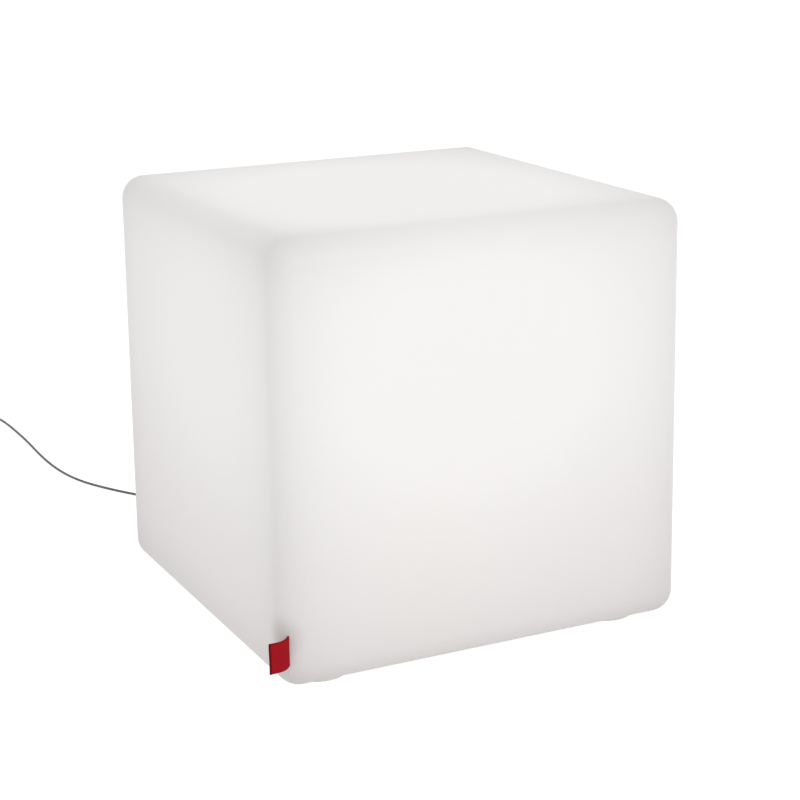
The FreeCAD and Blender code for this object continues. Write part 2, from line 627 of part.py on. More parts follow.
# Lamp post: an aluminium tube with a flange, screwed to the can.
def make_post():
    flange_top = f"({CAN_TOP} + post_flange_thickness)"
    tube_body = turned("post_tube", [
        ("post_bore / 2", CAN_TOP), ("post_flange_diameter / 2", CAN_TOP),
        ("post_flange_diameter / 2", flange_top), ("post_diameter / 2", flange_top),
        ("post_diameter / 2", POST_TOP), ("post_bore / 2", POST_TOP),
    ])
    holes, screws = [], []
    for index in range(3):
        x, y = post_screw_place(index)
        holes.append(rod(f"post_hole_{index}", "small_screw_diameter / 2 + screw_gap",
                         f"{CAN_TOP} - wall", f"{flange_top} + wall", x, y))
        screws.append(screw(f"post_screw_{index}", "small_head_diameter", "small_head_height",
                            "small_screw_diameter", "small_screw_length", x, y, flange_top, -1))
    node("lamp_post", cut("lamp_post", tube_body, *holes))
    group("post_screws", screws)


# Heat sink: a disc with a hub and radial fins, pushed over the top of the post.
def make_heat_sink():
    hub_radius = "(post_diameter / 2 + fit_gap / 2 + hub_wall)"
    hub = turned("sink_hub", [
        ("post_diameter / 2 + fit_gap / 2", f"{POST_TOP} - hub_height"),
        (hub_radius, f"{POST_TOP} - hub_height"), (hub_radius, POST_TOP),
        ("sink_diameter / 2", POST_TOP), ("sink_diameter / 2", SINK_TOP),
        ("led_board_hole / 2", SINK_TOP), ("led_board_hole / 2", POST_TOP),
        ("post_diameter / 2 + fit_gap / 2", POST_TOP),
    ])
    fins = []
    for index in range(int(value("fin_count"))):
        angle = f"{index} * 360 / fin_count"
        fin = add("Part::Box", f"sink_fin_{index}", Length=f"sink_diameter / 2 - {hub_radius}",
                  Width="fin_thickness", Height="fin_height + sink_thickness / 2")
        bind(fin, **{
            "Placement.Rotation.Angle": angle,
            "Placement.Base.x": f"({hub_radius} - 1) * cos({angle} * 1 deg)"
                                f" + fin_thickness / 2 * sin({angle} * 1 deg)",
            "Placement.Base.y": f"({hub_radius} - 1) * sin({angle} * 1 deg)"
                                f" - fin_thickness / 2 * cos({angle} * 1 deg)",
            "Placement.Base.z": f"{POST_TOP} - fin_height",
        })
        fins.append(fin)
    pilots = []
    for side in (-1, 1):
        x = f"{side} * led_screw_circle / 2"
        pilots.append(rod(f"sink_pilot_{1 + side}", "small_screw_diameter / 2 + fit_gap / 2",
                          f"{POST_TOP} - fin_height - wall", f"{SINK_TOP} + wall", x))
    node("heat_sink", cut("heat_sink", fuse("sink_whole", hub, *fins), *pilots))


# Light source: thermal pad, round LED board, its chips and two screws.
def make_light_source():
    for name, diameter, low, high in (("thermal_pad", "pad_diameter", SINK_TOP, PAD_TOP),
                                      ("led_board", "led_board_diameter", PAD_TOP, LED_BOARD_TOP)):
        disc = turned(f"{name}_disc", [
            ("led_board_hole / 2", low), (f"{diameter} / 2", low), (f"{diameter} / 2", high),
            ("led_board_hole / 2", high),
        ])
        holes = [rod(f"{name}_hole_{1 + side}", "small_screw_diameter / 2 + screw_gap",
                     f"{low} - wall", f"{high} + wall", f"{side} * led_screw_circle / 2")
                 for side in (-1, 1)]
        node(name, cut(name, disc, *holes))
    chips = []
    for index in range(int(value("led_count"))):
        angle = f"({index} + 0.5) * 360 / led_count"
        chips.append(box(f"led_chip_{index}", "led_size", "led_size", "led_height",
                         f"led_circle / 2 * cos({angle} * 1 deg)",
                         f"led_circle / 2 * sin({angle} * 1 deg)", LED_BOARD_TOP))
    group("led_chips", chips)
    screws = [screw(f"led_screw_{1 + side}", "small_head_diameter", "small_head_height",
                    "small_screw_diameter", "small_screw_length",
                    f"{side} * led_screw_circle / 2", "0", LED_BOARD_TOP, -1) for side in (-1, 1)]
    group("led_board_screws", screws)


# Diffuser: an opal dome over the board, its rim held down by a ring on the heat sink.
def make_dome():
    def bell(name, radius, low):
        ball = add("Part::Sphere", f"{name}_ball", Radius=radius)
        ball.Angle1 = 0
        place(ball, z=f"{SINK_TOP} + dome_side")
        return fuse(name, rod(f"{name}_side", radius, low, f"{SINK_TOP} + dome_side"), ball)

    rim = rod("dome_rim", "dome_diameter / 2 + dome_rim", SINK_TOP, f"{SINK_TOP} + dome_rim_height")
    outside = bell("dome_outside", "dome_diameter / 2", SINK_TOP)
    inside = bell("dome_inside", "dome_diameter / 2 - dome_wall", f"{SINK_TOP} - wall")
    node("diffuser_dome", cut("diffuser_dome", fuse("dome_whole", outside, rim), inside))
    skirt = "sink_diameter / 2 + fit_gap"
    lip = f"({SINK_TOP} + dome_rim_height + fit_gap)"
    node("dome_ring", turned("dome_ring", [
        (skirt, f"{SINK_TOP} - dome_ring_skirt"),
        (f"{skirt} + dome_ring_wall", f"{SINK_TOP} - dome_ring_skirt"),
        (f"{skirt} + dome_ring_wall", f"{lip} + dome_ring_lip"),
        ("dome_diameter / 2 + fit_gap", f"{lip} + dome_ring_lip"), ("dome_diameter / 2 + fit_gap", lip),
        (skirt, lip),
    ]))


# Wires inside the unit: the lead's inner end up to the terminals, and two wires up the post.
def make_inner_wires():
    bend = value("wire_bend")
    top = value(f"{LED_BOARD_TOP} + wire_rise")
    for name, side in (("wire_red", 1), ("wire_black", -1)):
        x, y = side * value("wire_spread"), -value("wire_back")
        out = 2.2
        tube(name, [
            (x, y, value(BOARD_TOP)), (x, y, top), (x * out, y * out, top),
            (x * out, y * out, value(LED_BOARD_TOP)),
        ], value("wire_diameter"), bend)
    loop_top = value(f"{BOARD_TOP} + terminal_height + 3 * lead_diameter")
    tube("lead_inner_end", [
        (0, 0, value(GLAND_MOUTH)), (0, 0, loop_top), (0, 23, loop_top),
        (0, 23, value(f"{BOARD_TOP} + terminal_height")),
    ], value("lead_diameter"), 3 * value("lead_diameter"))


# Lead outside the unit. It leaves the gland downwards, runs back on the floor between the feet and
# away behind the cube to the in-line switch, and from there by a coil to the adapter.
def make_lead():
    diameter = value("lead_diameter")
    floor = diameter / 2 + value("floor_gap")
    mouth = value(GLAND_MOUTH)
    relief = value("relief_axis_height")
    reach = value("switch_length / 2 + relief_length")
    switch_x, switch_y = value("switch_x"), value("switch_y")
    tube("lead_run", [
        (0, 0, mouth), (0, 0, floor + 0.56 * (mouth - floor)),
        (1, 7, floor + 0.18 * (mouth - floor)), (2, 19, floor), (4, 36, floor), (9, 66, floor),
        (12, 104, floor), (9, 145, floor), (6, 190, floor), (0, 235, floor), (-17, 280, floor),
        (-47, 321, floor), (-82, 356, floor), (-115, 392, floor), (-144, 431, floor),
        (-167, 470, floor), (-187, 512, floor), (-198, 558, floor), (-202, 608, floor),
        (-202, 660, floor), (-200, 712, floor), (-200, 764, floor), (-201, 810, floor),
        (-204, 846, floor), (-212, 872, floor), (-227, 888, floor + 1),
        (switch_x + reach + 10, switch_y, relief), (switch_x + reach, switch_y, relief),
    ], diameter)
    coil_x, coil_y = value("coil_x"), value("coil_y")
    outer = value("coil_middle_radius + (coil_turns - 1) / 2 * lead_diameter")
    tube("lead_to_coil", [
        (switch_x - reach, switch_y, relief), (switch_x - reach - 9, switch_y, relief),
        (switch_x - reach - 20, switch_y - 5, floor), (coil_x - outer - 7.5, coil_y + 27, floor),
        (coil_x - outer - 3, coil_y + 13, floor), (coil_x - outer, coil_y, floor),
    ], diameter)
    rise = value("coil_layers * lead_diameter")
    away = value("adapter_x - adapter_length / 2 - relief_length")
    plug_y = value("adapter_y - adapter_depth / 2 + adapter_split / 2")
    tube("lead_to_adapter", [
        (coil_x - outer, coil_y, rise - floor), (coil_x - outer + 1.5, coil_y - 14, rise - floor),
        (coil_x - outer + 6, coil_y - 27, floor + 4), (coil_x - 11, coil_y - 41, floor),
        (coil_x - 2, coil_y - 53, floor), (coil_x + 8, plug_y, floor + 2),
        (away - 8, plug_y, value("adapter_relief_height")),
        (away, plug_y, value("adapter_relief_height")),
    ], diameter)
    # the coil's outer shape: rows of turns beside and on each other, tied as for storage
    half = "coil_turns * lead_diameter / 2"
    edge = "lead_diameter / 2"
    ring = turned("lead_coil", [
        (f"coil_middle_radius - {half}", edge), (f"coil_middle_radius - {half} + {edge}", "floor_gap"),
        (f"coil_middle_radius + {half} - {edge}", "floor_gap"), (f"coil_middle_radius + {half}", edge),
        (f"coil_middle_radius + {half}", f"coil_layers * lead_diameter - {edge}"),
        (f"coil_middle_radius + {half} - {edge}", "coil_layers * lead_diameter + floor_gap"),
        (f"coil_middle_radius - {half} + {edge}", "coil_layers * lead_diameter + floor_gap"),
        (f"coil_middle_radius - {half}", f"coil_layers * lead_diameter - {edge}"),
    ])
    node("lead_coil", place(ring, "coil_x", "coil_y"))


def relief_sleeve(name, x, y, z, side, wall_thickness):
    """A tapered sleeve on a housing's end wall; side is the way it points along X."""
    far = f"{wall_thickness} + 2 * fit_gap"
    body = turned(name, [
        ("0", f"-({far}) - relief_flange"),
        ("relief_flange_diameter / 2", f"-({far}) - relief_flange"),
        ("relief_flange_diameter / 2", f"-({far})"), ("relief_neck_diameter / 2", f"-({far})"),
        ("relief_neck_diameter / 2", "fit_gap"), ("relief_diameter / 2", "fit_gap"),
        ("relief_tip_diameter / 2", "relief_length"), ("0", "relief_length"),
    ])
    return node(name, place(body, x, y, z, 90 * side, (0, 1, 0)))


# In-line switch: two screwed half shells on the lead, a rocker on a pin, and two contacts.
def make_switch():
    half = "switch_length / 2"
    inner_length, inner_width = (f"{size} - 2 * switch_wall" for size in ("switch_length", "switch_width"))

    def shell(name, low, high, space_low, space_high, rounded_level):
        def outer_edges(edge):
            box_of = edge.BoundBox
            level = value(rounded_level)
            upright = lies_along("z")(edge)
            return upright or max(abs(box_of.ZMin - level), abs(box_of.ZMax - level)) < 1e-6
        solid = block(f"{name}_blank", "switch_length", "switch_width", f"({high}) - ({low})",
                      "switch_edge", outer_edges)
        place(solid, "switch_x", "switch_y", low)
        space = box(f"{name}_space", inner_length, inner_width, f"({space_high}) - ({space_low})",
                    "switch_x", "switch_y", space_low)
        return cut(f"{name}_hollow", solid, space)

    base = shell("switch_base", "0", "switch_split", "switch_wall", "switch_split + wall", "0")
    cover = shell("switch_cover", "switch_split", "switch_height", "switch_split - wall",
                  "switch_height - switch_wall", "switch_height - switch_split")
    base_added, base_taken, cover_added, cover_taken, screws = [], [], [], [], []
    for side in (-1, 1):
        x = f"switch_x + {side} * switch_screw_x"
        y = f"switch_y + {side} * switch_screw_y"
        base_added.append(rod(f"switch_base_post_{1 + side}", "switch_post_diameter / 2",
                              "switch_wall / 2", "switch_split", x, y))
        base_taken.append(rod(f"switch_base_hole_{1 + side}", "small_screw_diameter / 2 + screw_gap",
                              "-wall", "switch_split + wall", x, y))
        base_taken.append(rod(f"switch_base_bore_{1 + side}", "small_head_diameter / 2 + screw_gap",
                              "-wall", "small_head_height + switch_wall / 2", x, y))
        cover_added.append(rod(f"switch_cover_post_{1 + side}", "switch_post_diameter / 2",
                               "switch_split", "switch_height - switch_wall / 2", x, y))
        cover_taken.append(rod(f"switch_cover_pilot_{1 + side}", "small_screw_diameter / 2 + fit_gap / 2",
                               "switch_split - wall", "switch_height - switch_wall", x, y))
        screws.append(screw(f"switch_screw_{1 + side}", "small_head_diameter", "small_head_height",
                            "small_screw_diameter", "switch_split - small_head_height + wall",
                            x, y, "small_head_height + switch_wall / 2"))
        base_taken.append(rod_along(f"switch_lead_hole_{1 + side}", "relief_neck_diameter / 2 + fit_gap",
                                    "2 * switch_wall", f"switch_x + {side} * {half} - switch_wall",
                                    "switch_y", "relief_axis_height", "x"))
        cheek_y = f"switch_y + {side} * (rocker_width / 2 + run_gap + cheek_thickness / 2)"
        base_added.append(box(f"switch_cheek_{1 + side}", "cheek_length", "cheek_thickness",
                              "rocker_axis_height + cheek_cap - switch_wall / 2", "switch_x", cheek_y,
                              "switch_wall / 2"))
        sleeve = "switch_relief_front" if side == 1 else "switch_relief_rear"
        relief_sleeve(sleeve, f"switch_x + {side} * {half}", "switch_y", "relief_axis_height", side,
                      "switch_wall")
    pin_start = "switch_y - rocker_pin_length / 2"
    base_taken.append(rod_along("switch_pin_bore", "rocker_pin_diameter / 2 + fit_gap / 2",
                                "switch_width", "switch_x", "switch_y - switch_width / 2",
                                "rocker_axis_height", "y"))
    cover_taken.append(box("switch_window", "window_length", "rocker_width + 2 * window_gap", "wall * 2",
                           "switch_x", "switch_y", "switch_height - wall"))
    node("switch_base", cut("switch_base", fuse("switch_base_whole", base, *base_added), *base_taken))
    node("switch_cover", cut("switch_cover", fuse("switch_cover_whole", cover, *cover_added),
                             *cover_taken))
    group("switch_screws", screws)
    node("rocker_pin", rod_along("rocker_pin", "rocker_pin_diameter / 2", "rocker_pin_length",
                                 "switch_x", pin_start, "rocker_axis_height", "y"))
    make_rocker()
    contacts = []
    for side in (-1, 1):
        leg = box(f"contact_leg_{1 + side}", "0.8", "rocker_width / 2", "contact_height",
                  f"switch_x + {side} * (contact_x + 2)", "switch_y", "switch_wall")
        blade = box(f"contact_blade_{1 + side}", "contact_x", "rocker_width / 2", "0.8",
                    f"switch_x + {side} * contact_x", "switch_y",
                    "switch_wall + contact_height - 0.8")
        contacts.append(fuse(f"contact_{1 + side}", leg, blade))
    group("switch_contacts", contacts)


def make_rocker():
    """A block with a shallow V for its top, rounded about its pin, tilted to its off position."""
    rise = "rocker_reach * tan(rocker_tilt * 1 deg)"
    blank, _ = plate("rocker_blank", [
        ("-rocker_reach", "-rocker_under"), ("rocker_reach", "-rocker_under"),
        ("rocker_reach", f"rocker_top + {rise}"), ("0", "rocker_top"),
        ("-rocker_reach", f"rocker_top + {rise}"),
    ], "rocker_width", "XZ_Plane")
    barrel = rod_along("rocker_barrel", "rocker_reach", "rocker_width", "0", "-rocker_width / 2", "0", "y")
    rounded = doc.addObject("Part::MultiCommon", "rocker_rounded")
    rounded.Shapes = [blank, barrel]
    bore = rod_along("rocker_bore", "rocker_pin_diameter / 2 + fit_gap / 2", "2 * rocker_width", "0",
                     "-rocker_width", "0", "y")
    rocker = cut("switch_rocker", rounded, bore)
    place(rocker, "switch_x", "switch_y", "rocker_axis_height", -value("rocker_tilt"), (0, 1, 0))
    node("switch_rocker", rocker)


# Power adapter: two screwed half shells, plug pins, a board with transformer and capacitor.
def make_adapter():
    near = "(adapter_y - adapter_depth / 2)"
    far = "(adapter_y + adapter_depth / 2)"
    split = f"({near} + adapter_split)"
    middle_z = "adapter_height / 2"

    def half_shell(name, low, high, space_low, space_high):
        """A cup in depth, its long edges along Y rounded."""
        depth = f"({high}) - ({low})"
        solid = block(f"{name}_blank", "adapter_length", depth, "adapter_height", "adapter_edge",
                      lies_along("y"))
        place(solid, "adapter_x", f"(({low}) + ({high})) / 2")
        space = add("Part::Box", f"{name}_space", Length="adapter_length - 2 * adapter_wall",
                    Width=f"({space_high}) - ({space_low})", Height="adapter_height - 2 * adapter_wall")
        place(space, "adapter_x - adapter_length / 2 + adapter_wall", space_low, "adapter_wall")
        return cut(f"{name}_hollow", solid, space)

    cover = half_shell("adapter_cover", near, split, f"{near} + adapter_wall", f"{split} + wall")
    base = half_shell("adapter_base", split, far, f"{split} - wall", f"{far} - adapter_wall")
    pins, screws, base_added, base_taken, cover_added, cover_taken = [], [], [], [], [], []
    for side in (-1, 1):
        pin_x = f"adapter_x + {side} * pin_spacing / 2"
        profile = [
            ("0", "-pin_root"), ("pin_sleeve_diameter / 2", "-pin_root"),
            ("pin_sleeve_diameter / 2", "pin_sleeve_length"), ("pin_diameter / 2", "pin_sleeve_length"),
            ("pin_diameter / 2", "pin_length - pin_tip"),
            ("pin_diameter / 2 - pin_tip", "pin_length"), ("0", "pin_length"),
        ]
        pin = turned(f"plug_pin_{1 + side}", profile)
        pins.append(place(pin, pin_x, far, middle_z, -90, (1, 0, 0)))
        base_taken.append(rod_along(f"pin_hole_{1 + side}", "pin_sleeve_diameter / 2 + fit_gap / 2",
                                    "3 * adapter_wall", pin_x, f"{far} - 2 * adapter_wall", middle_z, "y"))
        x = f"adapter_x + {side} * adapter_screw_x"
        z = f"{middle_z} + {side} * adapter_screw_z"
        base_added.append(rod_along(f"adapter_base_post_{1 + side}", "adapter_post_diameter / 2",
                                    f"{far} - {split} - adapter_wall / 2", x, split, z, "y"))
        base_taken.append(rod_along(f"adapter_pilot_{1 + side}", "small_screw_diameter / 2 + fit_gap / 2",
                                    f"{far} - {split} - adapter_wall", x, split, z, "y"))
        cover_added.append(rod_along(f"adapter_cover_post_{1 + side}", "adapter_post_diameter / 2",
                                     "adapter_split - adapter_wall / 2", x,
                                     f"{near} + adapter_wall / 2", z, "y"))
        cover_taken.append(rod_along(f"adapter_hole_{1 + side}", "small_screw_diameter / 2 + screw_gap",
                                     "adapter_split + wall", x, f"{near} - wall / 2", z, "y"))
        bore_depth = "(adapter_split - small_screw_length / 2)"
        cover_taken.append(rod_along(f"adapter_bore_{1 + side}", "small_head_diameter / 2 + screw_gap",
                                     f"{bore_depth} + wall", x, f"{near} - wall", z, "y"))
        profile = [
            ("0", "-small_head_height"), ("small_head_diameter / 2", "-small_head_height"),
            ("small_head_diameter / 2", "0"), ("small_screw_diameter / 2", "0"),
            ("small_screw_diameter / 2", "small_screw_length"), ("0", "small_screw_length"),
        ]
        blank = turned(f"adapter_screw_{1 + side}", profile)
        screws.append(place(blank, x, f"{near} + {bore_depth}", z, -90, (1, 0, 0)))
    relief_y = f"({near} + adapter_split / 2)"
    end_wall = "(adapter_x - adapter_length / 2)"
    cover_taken.append(rod_along("adapter_lead_hole", "relief_neck_diameter / 2 + fit_gap",
                                 "2 * adapter_wall", f"{end_wall} - adapter_wall / 2", relief_y,
                                 "adapter_relief_height", "x"))
    node("adapter_cover", cut("adapter_cover", fuse("adapter_cover_whole", cover, *cover_added),
                              *cover_taken))
    node("adapter_base", cut("adapter_base", fuse("adapter_base_whole", base, *base_added),
                             *base_taken))
    group("plug_pins", pins)
    group("adapter_screws", screws)
    relief_sleeve("adapter_relief", end_wall, relief_y, "adapter_relief_height", -1, "adapter_wall")
    board_y = f"({near} + adapter_split - adapter_board_thickness)"
    blank = add("Part::Box", "adapter_board_blank", Width="adapter_board_thickness",
                Length="adapter_length - 2 * adapter_wall - 2 * fit_gap",
                Height="adapter_height - 2 * adapter_wall - 2 * fit_gap")
    place(blank, "adapter_x - adapter_length / 2 + adapter_wall + fit_gap", board_y,
          "adapter_wall + fit_gap")
    holes = [rod_along(f"adapter_board_hole_{1 + side}", "adapter_post_diameter / 2 + screw_gap",
                       "wall * 2", f"adapter_x + {side} * adapter_screw_x", f"{board_y} - wall",
                       f"{middle_z} + {side} * adapter_screw_z", "y") for side in (-1, 1)]
    node("adapter_board", cut("adapter_board", blank, *holes))
    core = add("Part::Box", "adapter_transformer", Length="transformer_length",
               Width="transformer_depth", Height="transformer_height")
    node("adapter_transformer", place(core, "adapter_x - transformer_length / 2",
                                      f"{board_y} - transformer_depth",
                                      f"{middle_z} - transformer_height / 2"))
    drum = rod_along("adapter_capacitor", "adapter_capacitor_diameter / 2", "adapter_capacitor_length",
                     "adapter_x + transformer_length / 2 + adapter_capacitor_diameter / 2 + 1",
                     f"{board_y} - adapter_capacitor_length",
                     f"{middle_z} - adapter_capacitor_diameter", "y")
    node("adapter_capacitor", drum)


def write_parts():
    doc.recompute()
    for thing in doc.Objects:
        if {"Invalid", "Error"} & set(thing.State):
            raise ValueError(f"{thing.Name} could not be worked out: {thing.State}")
    os.makedirs("parts", exist_ok=True)
    for name, thing in nodes.items():
        if thing.Shape.isNull() or not thing.Shape.isValid():
            raise ValueError(f"{name} is not a valid shape")
        thing.Shape.exportStep(f"parts/{name}.step")
    print(len(nodes), "nodes written")


make_cube_shell()
make_feet()
make_label()
make_mounting_ring()
make_cover()
make_gland()
make_driver()
make_can()
make_post()
make_heat_sink()
make_light_source()
make_dome()
make_inner_wires()
make_lead()
make_switch()
make_adapter()
write_parts()
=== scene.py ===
"""A glowing garden cube on low feet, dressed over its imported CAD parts. Lengths are in metres."""
import math

import bpy
from mathutils import Matrix, Vector


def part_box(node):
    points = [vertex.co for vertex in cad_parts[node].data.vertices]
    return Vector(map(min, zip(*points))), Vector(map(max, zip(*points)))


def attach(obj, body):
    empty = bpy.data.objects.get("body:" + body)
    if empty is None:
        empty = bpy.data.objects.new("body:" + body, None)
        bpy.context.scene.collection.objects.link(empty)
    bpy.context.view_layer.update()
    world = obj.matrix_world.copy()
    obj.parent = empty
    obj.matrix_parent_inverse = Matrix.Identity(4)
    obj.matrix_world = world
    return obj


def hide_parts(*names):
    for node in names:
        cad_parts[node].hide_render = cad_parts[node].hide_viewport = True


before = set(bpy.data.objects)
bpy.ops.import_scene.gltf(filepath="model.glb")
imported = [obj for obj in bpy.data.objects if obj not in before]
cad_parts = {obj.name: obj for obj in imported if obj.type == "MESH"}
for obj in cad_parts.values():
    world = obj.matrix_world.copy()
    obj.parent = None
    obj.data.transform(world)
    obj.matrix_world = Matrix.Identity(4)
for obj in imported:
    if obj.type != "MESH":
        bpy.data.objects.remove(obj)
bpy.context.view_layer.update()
scene = bpy.context.scene
bpy.ops.object.select_all(action="DESELECT")


# ---- Camera. It stands in front of the cube, to its left and above, with a long lens.
# ---- Its place was worked out from the cube's known corners.
lens = bpy.data.cameras.new("camera")
lens.lens, lens.sensor_width = 88.2425, 36
camera = bpy.data.objects.new("camera", lens)
scene.collection.objects.link(camera)
camera_right = Vector((0.89657, -0.44269, -0.01337))
camera_up = Vector((0.13181, 0.23789, 0.96231))
camera_back = Vector((-0.42282, -0.86454, 0.27164))
camera_place = Vector((-0.8623, -1.7847, 0.7695))
camera.matrix_world = Matrix((camera_right, camera_up, camera_back)).transposed().to_4x4()
camera.matrix_world.translation = camera_place
scene.camera = camera
scene.view_settings.view_transform = "Standard"


# ---- Studio room and floor. A plain pale floor in an evenly bright room; the camera and what
# ---- reflects see both as white, and the floor keeps the shadow of what stands on it.
class Wire:
    """One socket of a finish. Sums on Wires add the Math nodes that work them out."""

    def __init__(self, finish, socket):
        self.finish, self.socket = finish, socket

    def sum(self, operation, *terms):
        return self.finish.add("ShaderNodeMath", {"operation": operation}, terms)

    def __add__(self, other):
        return self.sum("ADD", self, other)

    def __sub__(self, other):
        return self.sum("SUBTRACT", self, other)

    def __rsub__(self, other):
        return self.sum("SUBTRACT", other, self)

    def __mul__(self, other):
        return self.sum("MULTIPLY", self, other)

    def __truediv__(self, other):
        return self.sum("DIVIDE", self, other)

    def __rtruediv__(self, other):
        return self.sum("DIVIDE", other, self)

    def __pow__(self, other):
        return self.sum("POWER", self, other)

    __radd__, __rmul__ = __add__, __mul__

    def wave(self):
        return self.sum("SINE", self)

    def size(self):
        return self.sum("ABSOLUTE", self)

    def at_most(self, other):
        return self.sum("MINIMUM", self, other)

    def at_least(self, other):
        return self.sum("MAXIMUM", self, other)

    def between(self, low, high):
        """0 below low, 1 above high, and a smooth rise between them."""
        return self.finish.add("ShaderNodeMapRange", {"interpolation_type": "SMOOTHSTEP"},
                               {"Value": self, "From Min": low, "From Max": high})


class Finish:
    """One material, and the nodes that it is made of."""

    def __init__(self, name, **fixed):
        self.material = bpy.data.materials.new(name)
        self.material.use_nodes = True
        self.tree = self.material.node_tree
        self.shader = self.tree.nodes["Principled BSDF"]
        self.set(**fixed)

    def add(self, kind, settings, inputs, output=0):
        """A node of this kind, with its settings and the values or Wires of its sockets."""
        made = self.tree.nodes.new(kind)
        for name, setting in settings.items():
            setattr(made, name, setting)
        named = inputs.items() if isinstance(inputs, dict) else enumerate(inputs)
        for socket, what in named:
            self.feed(made.inputs[socket], what)
        return Wire(self, made.outputs[output])

    def feed(self, socket, what):
        if isinstance(what, Wire):
            self.tree.links.new(what.socket, socket)
        else:
            socket.default_value = (*what, 1) if socket.type == "RGBA" else what

    def set(self, **sockets):
        for name, what in sockets.items():
            self.feed(self.shader.inputs[name.replace("_", " ")], what)

    def place(self, output="Object"):
        return self.add("ShaderNodeTexCoord", {}, {}, output)

    def axis(self, index, output="Object"):
        return self.add("ShaderNodeSeparateXYZ", {}, [self.place(output)], index)

    def distance(self, point):
        """Distance of the surface from a point, in metres."""
        return self.add("ShaderNodeVectorMath", {"operation": "DISTANCE"},
                        {0: self.place(), 1: point}, "Value")

    def noise(self, scale, detail=2.0, stretch=(1, 1, 1)):
        where = self.add("ShaderNodeMapping", {}, {"Vector": self.place(), "Scale": stretch})
        return self.add("ShaderNodeTexNoise", {},
                        {"Vector": where, "Scale": scale, "Detail": detail})

    def blend(self, share, first, second):
        """A colour between two, by a share from 0 to 1."""
        return self.add("ShaderNodeMix", {"data_type": "RGBA"}, {0: share, 6: first, 7: second}, 2)

    def bump(self, height, depth, over=None):
        """Raise the surface by height times depth, in metres."""
        inputs = {"Strength": 1.0, "Distance": depth, "Height": height}
        if over is not None:
            inputs["Normal"] = over
        return self.add("ShaderNodeBump", {}, inputs)


def studio_white(tree, surface, level):
    """Plain white, and where to show it: to the camera, in a reflection or through clear glass."""
    path = tree.nodes.new("ShaderNodeLightPath")
    seen = path.outputs["Is Camera Ray"]
    for ray in ("Is Glossy Ray", "Is Transmission Ray"):
        either = tree.nodes.new("ShaderNodeMath")
        either.operation = "MAXIMUM"
        tree.links.new(seen, either.inputs[0])
        tree.links.new(path.outputs[ray], either.inputs[1])
        seen = either.outputs[0]
    white = tree.nodes.new(surface)
    white.inputs["Color"].default_value = (1, 1, 1, 1)
    white.inputs["Strength"].default_value = level
    return seen, white.outputs[0]


def choose(tree, share, first, second, end):
    """Show the first surface where the share is 0 and the second where it is 1."""
    mix = tree.nodes.new("ShaderNodeMixShader")
    for socket, what in zip(mix.inputs, (share, first, second)):
        tree.links.new(what, socket)
    tree.links.new(mix.outputs[0], tree.nodes[end].inputs["Surface"])


room_light, seen_white, shadow_share = 0.65, 0.93, 0.3
floor_radius, floor_level, plaster_tone = 30, -0.0002, 0.86
room = bpy.data.worlds.new("room")
scene.world = room
room.use_nodes = True
air = room.node_tree.nodes["Background"]
air.inputs["Color"].default_value = (1, 1, 1, 1)
air.inputs["Strength"].default_value = room_light
seen, white = studio_white(room.node_tree, "ShaderNodeBackground", 1.0)
choose(room.node_tree, seen, air.outputs[0], white, "World Output")

bpy.ops.mesh.primitive_circle_add(vertices=96, radius=floor_radius, fill_type="NGON",
                                  location=(0, 0, floor_level))
floor = bpy.context.object
floor.name = "floor"
plaster = Finish("floor_plaster", Base_Color=(plaster_tone,) * 3, Roughness=0.9)
floor.data.materials.append(plaster.material)
seen, white = studio_white(plaster.tree, "ShaderNodeEmission", seen_white)
dimmed = plaster.add("ShaderNodeBsdfDiffuse", {}, {"Color": (shadow_share,) * 3})
lit = plaster.tree.nodes.new("ShaderNodeAddShader")
plaster.tree.links.new(dimmed.socket, lit.inputs[0])
plaster.tree.links.new(white, lit.inputs[1])
choose(plaster.tree, seen, plaster.shader.outputs[0], lit.outputs[0], "Material Output")


# ---- Studio lamps. Two round soft boxes that face the cube: a strong one in front of it, and a
# ---- weak one on its left that keeps the side wall from going grey.
lamp_size, lamp_target = 1.6, Vector((0, 0, 0.2))
for name, place, power in (("front_lamp", (-0.1, -2.4, 0.9), 9.5),
                           ("left_lamp", (-2.2, -0.2, 1.2), 1.0)):
    lamp = bpy.data.lights.new(name, "AREA")
    lamp.shape, lamp.size, lamp.energy = "DISK", lamp_size, power
    shade = bpy.data.objects.new(name, lamp)
    scene.collection.objects.link(shade)
    shade.location = place
    shade.rotation_euler = (lamp_target - shade.location).to_track_quat("-Z", "Y").to_euler()


# ---- Cube shell. One rotationally moulded skin of milky polyethylene, satin outside. The light of
# ---- the lamp inside is painted into its emission colour as a glow, most in the upper middle of
# ---- each wall and least along the edges; painted shade darkens colour and glow round the label's
# ---- root, where the skin also dips, and a painted highlight lightens the seam below the label.
def coat(finish, *names):
    """Give CAD nodes a finish."""
    for name in names:
        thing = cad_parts[name]
        if not thing.data.materials:
            thing.data.materials.append(finish.material)
        for material_slot in thing.material_slots:
            material_slot.material = finish.material


shell_low, shell_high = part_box("cube_shell")
cube_half = shell_high[0]
cube_middle = (shell_low[2] + shell_high[2]) / 2
cube_rise = (shell_high[2] - shell_low[2]) / 2
lamp_heart, label_root, edge_power = (-0.015, -0.03, 0.29), (-0.2155, -0.2075, 0.062), 8
# Shares of the painted glow, and how much it dims along the edges and, as painted shade, round the
# label's root.
heart_glow, high_glow, even_glow = 0.38, 0.20, 0.22
edge_dimming, painted_shade_dimming = 0.33, 0.15
seam_width, seam_corner, seam_top = (0.0008, 0.0003), -0.2, (0.0335, 0.0325)
warm_glow = (1.0, 0.985, 0.965)
low_white, low_grey, high_white = (0.80, 0.765, 0.757), (0.79, 0.762, 0.758), (0.79, 0.774, 0.762)
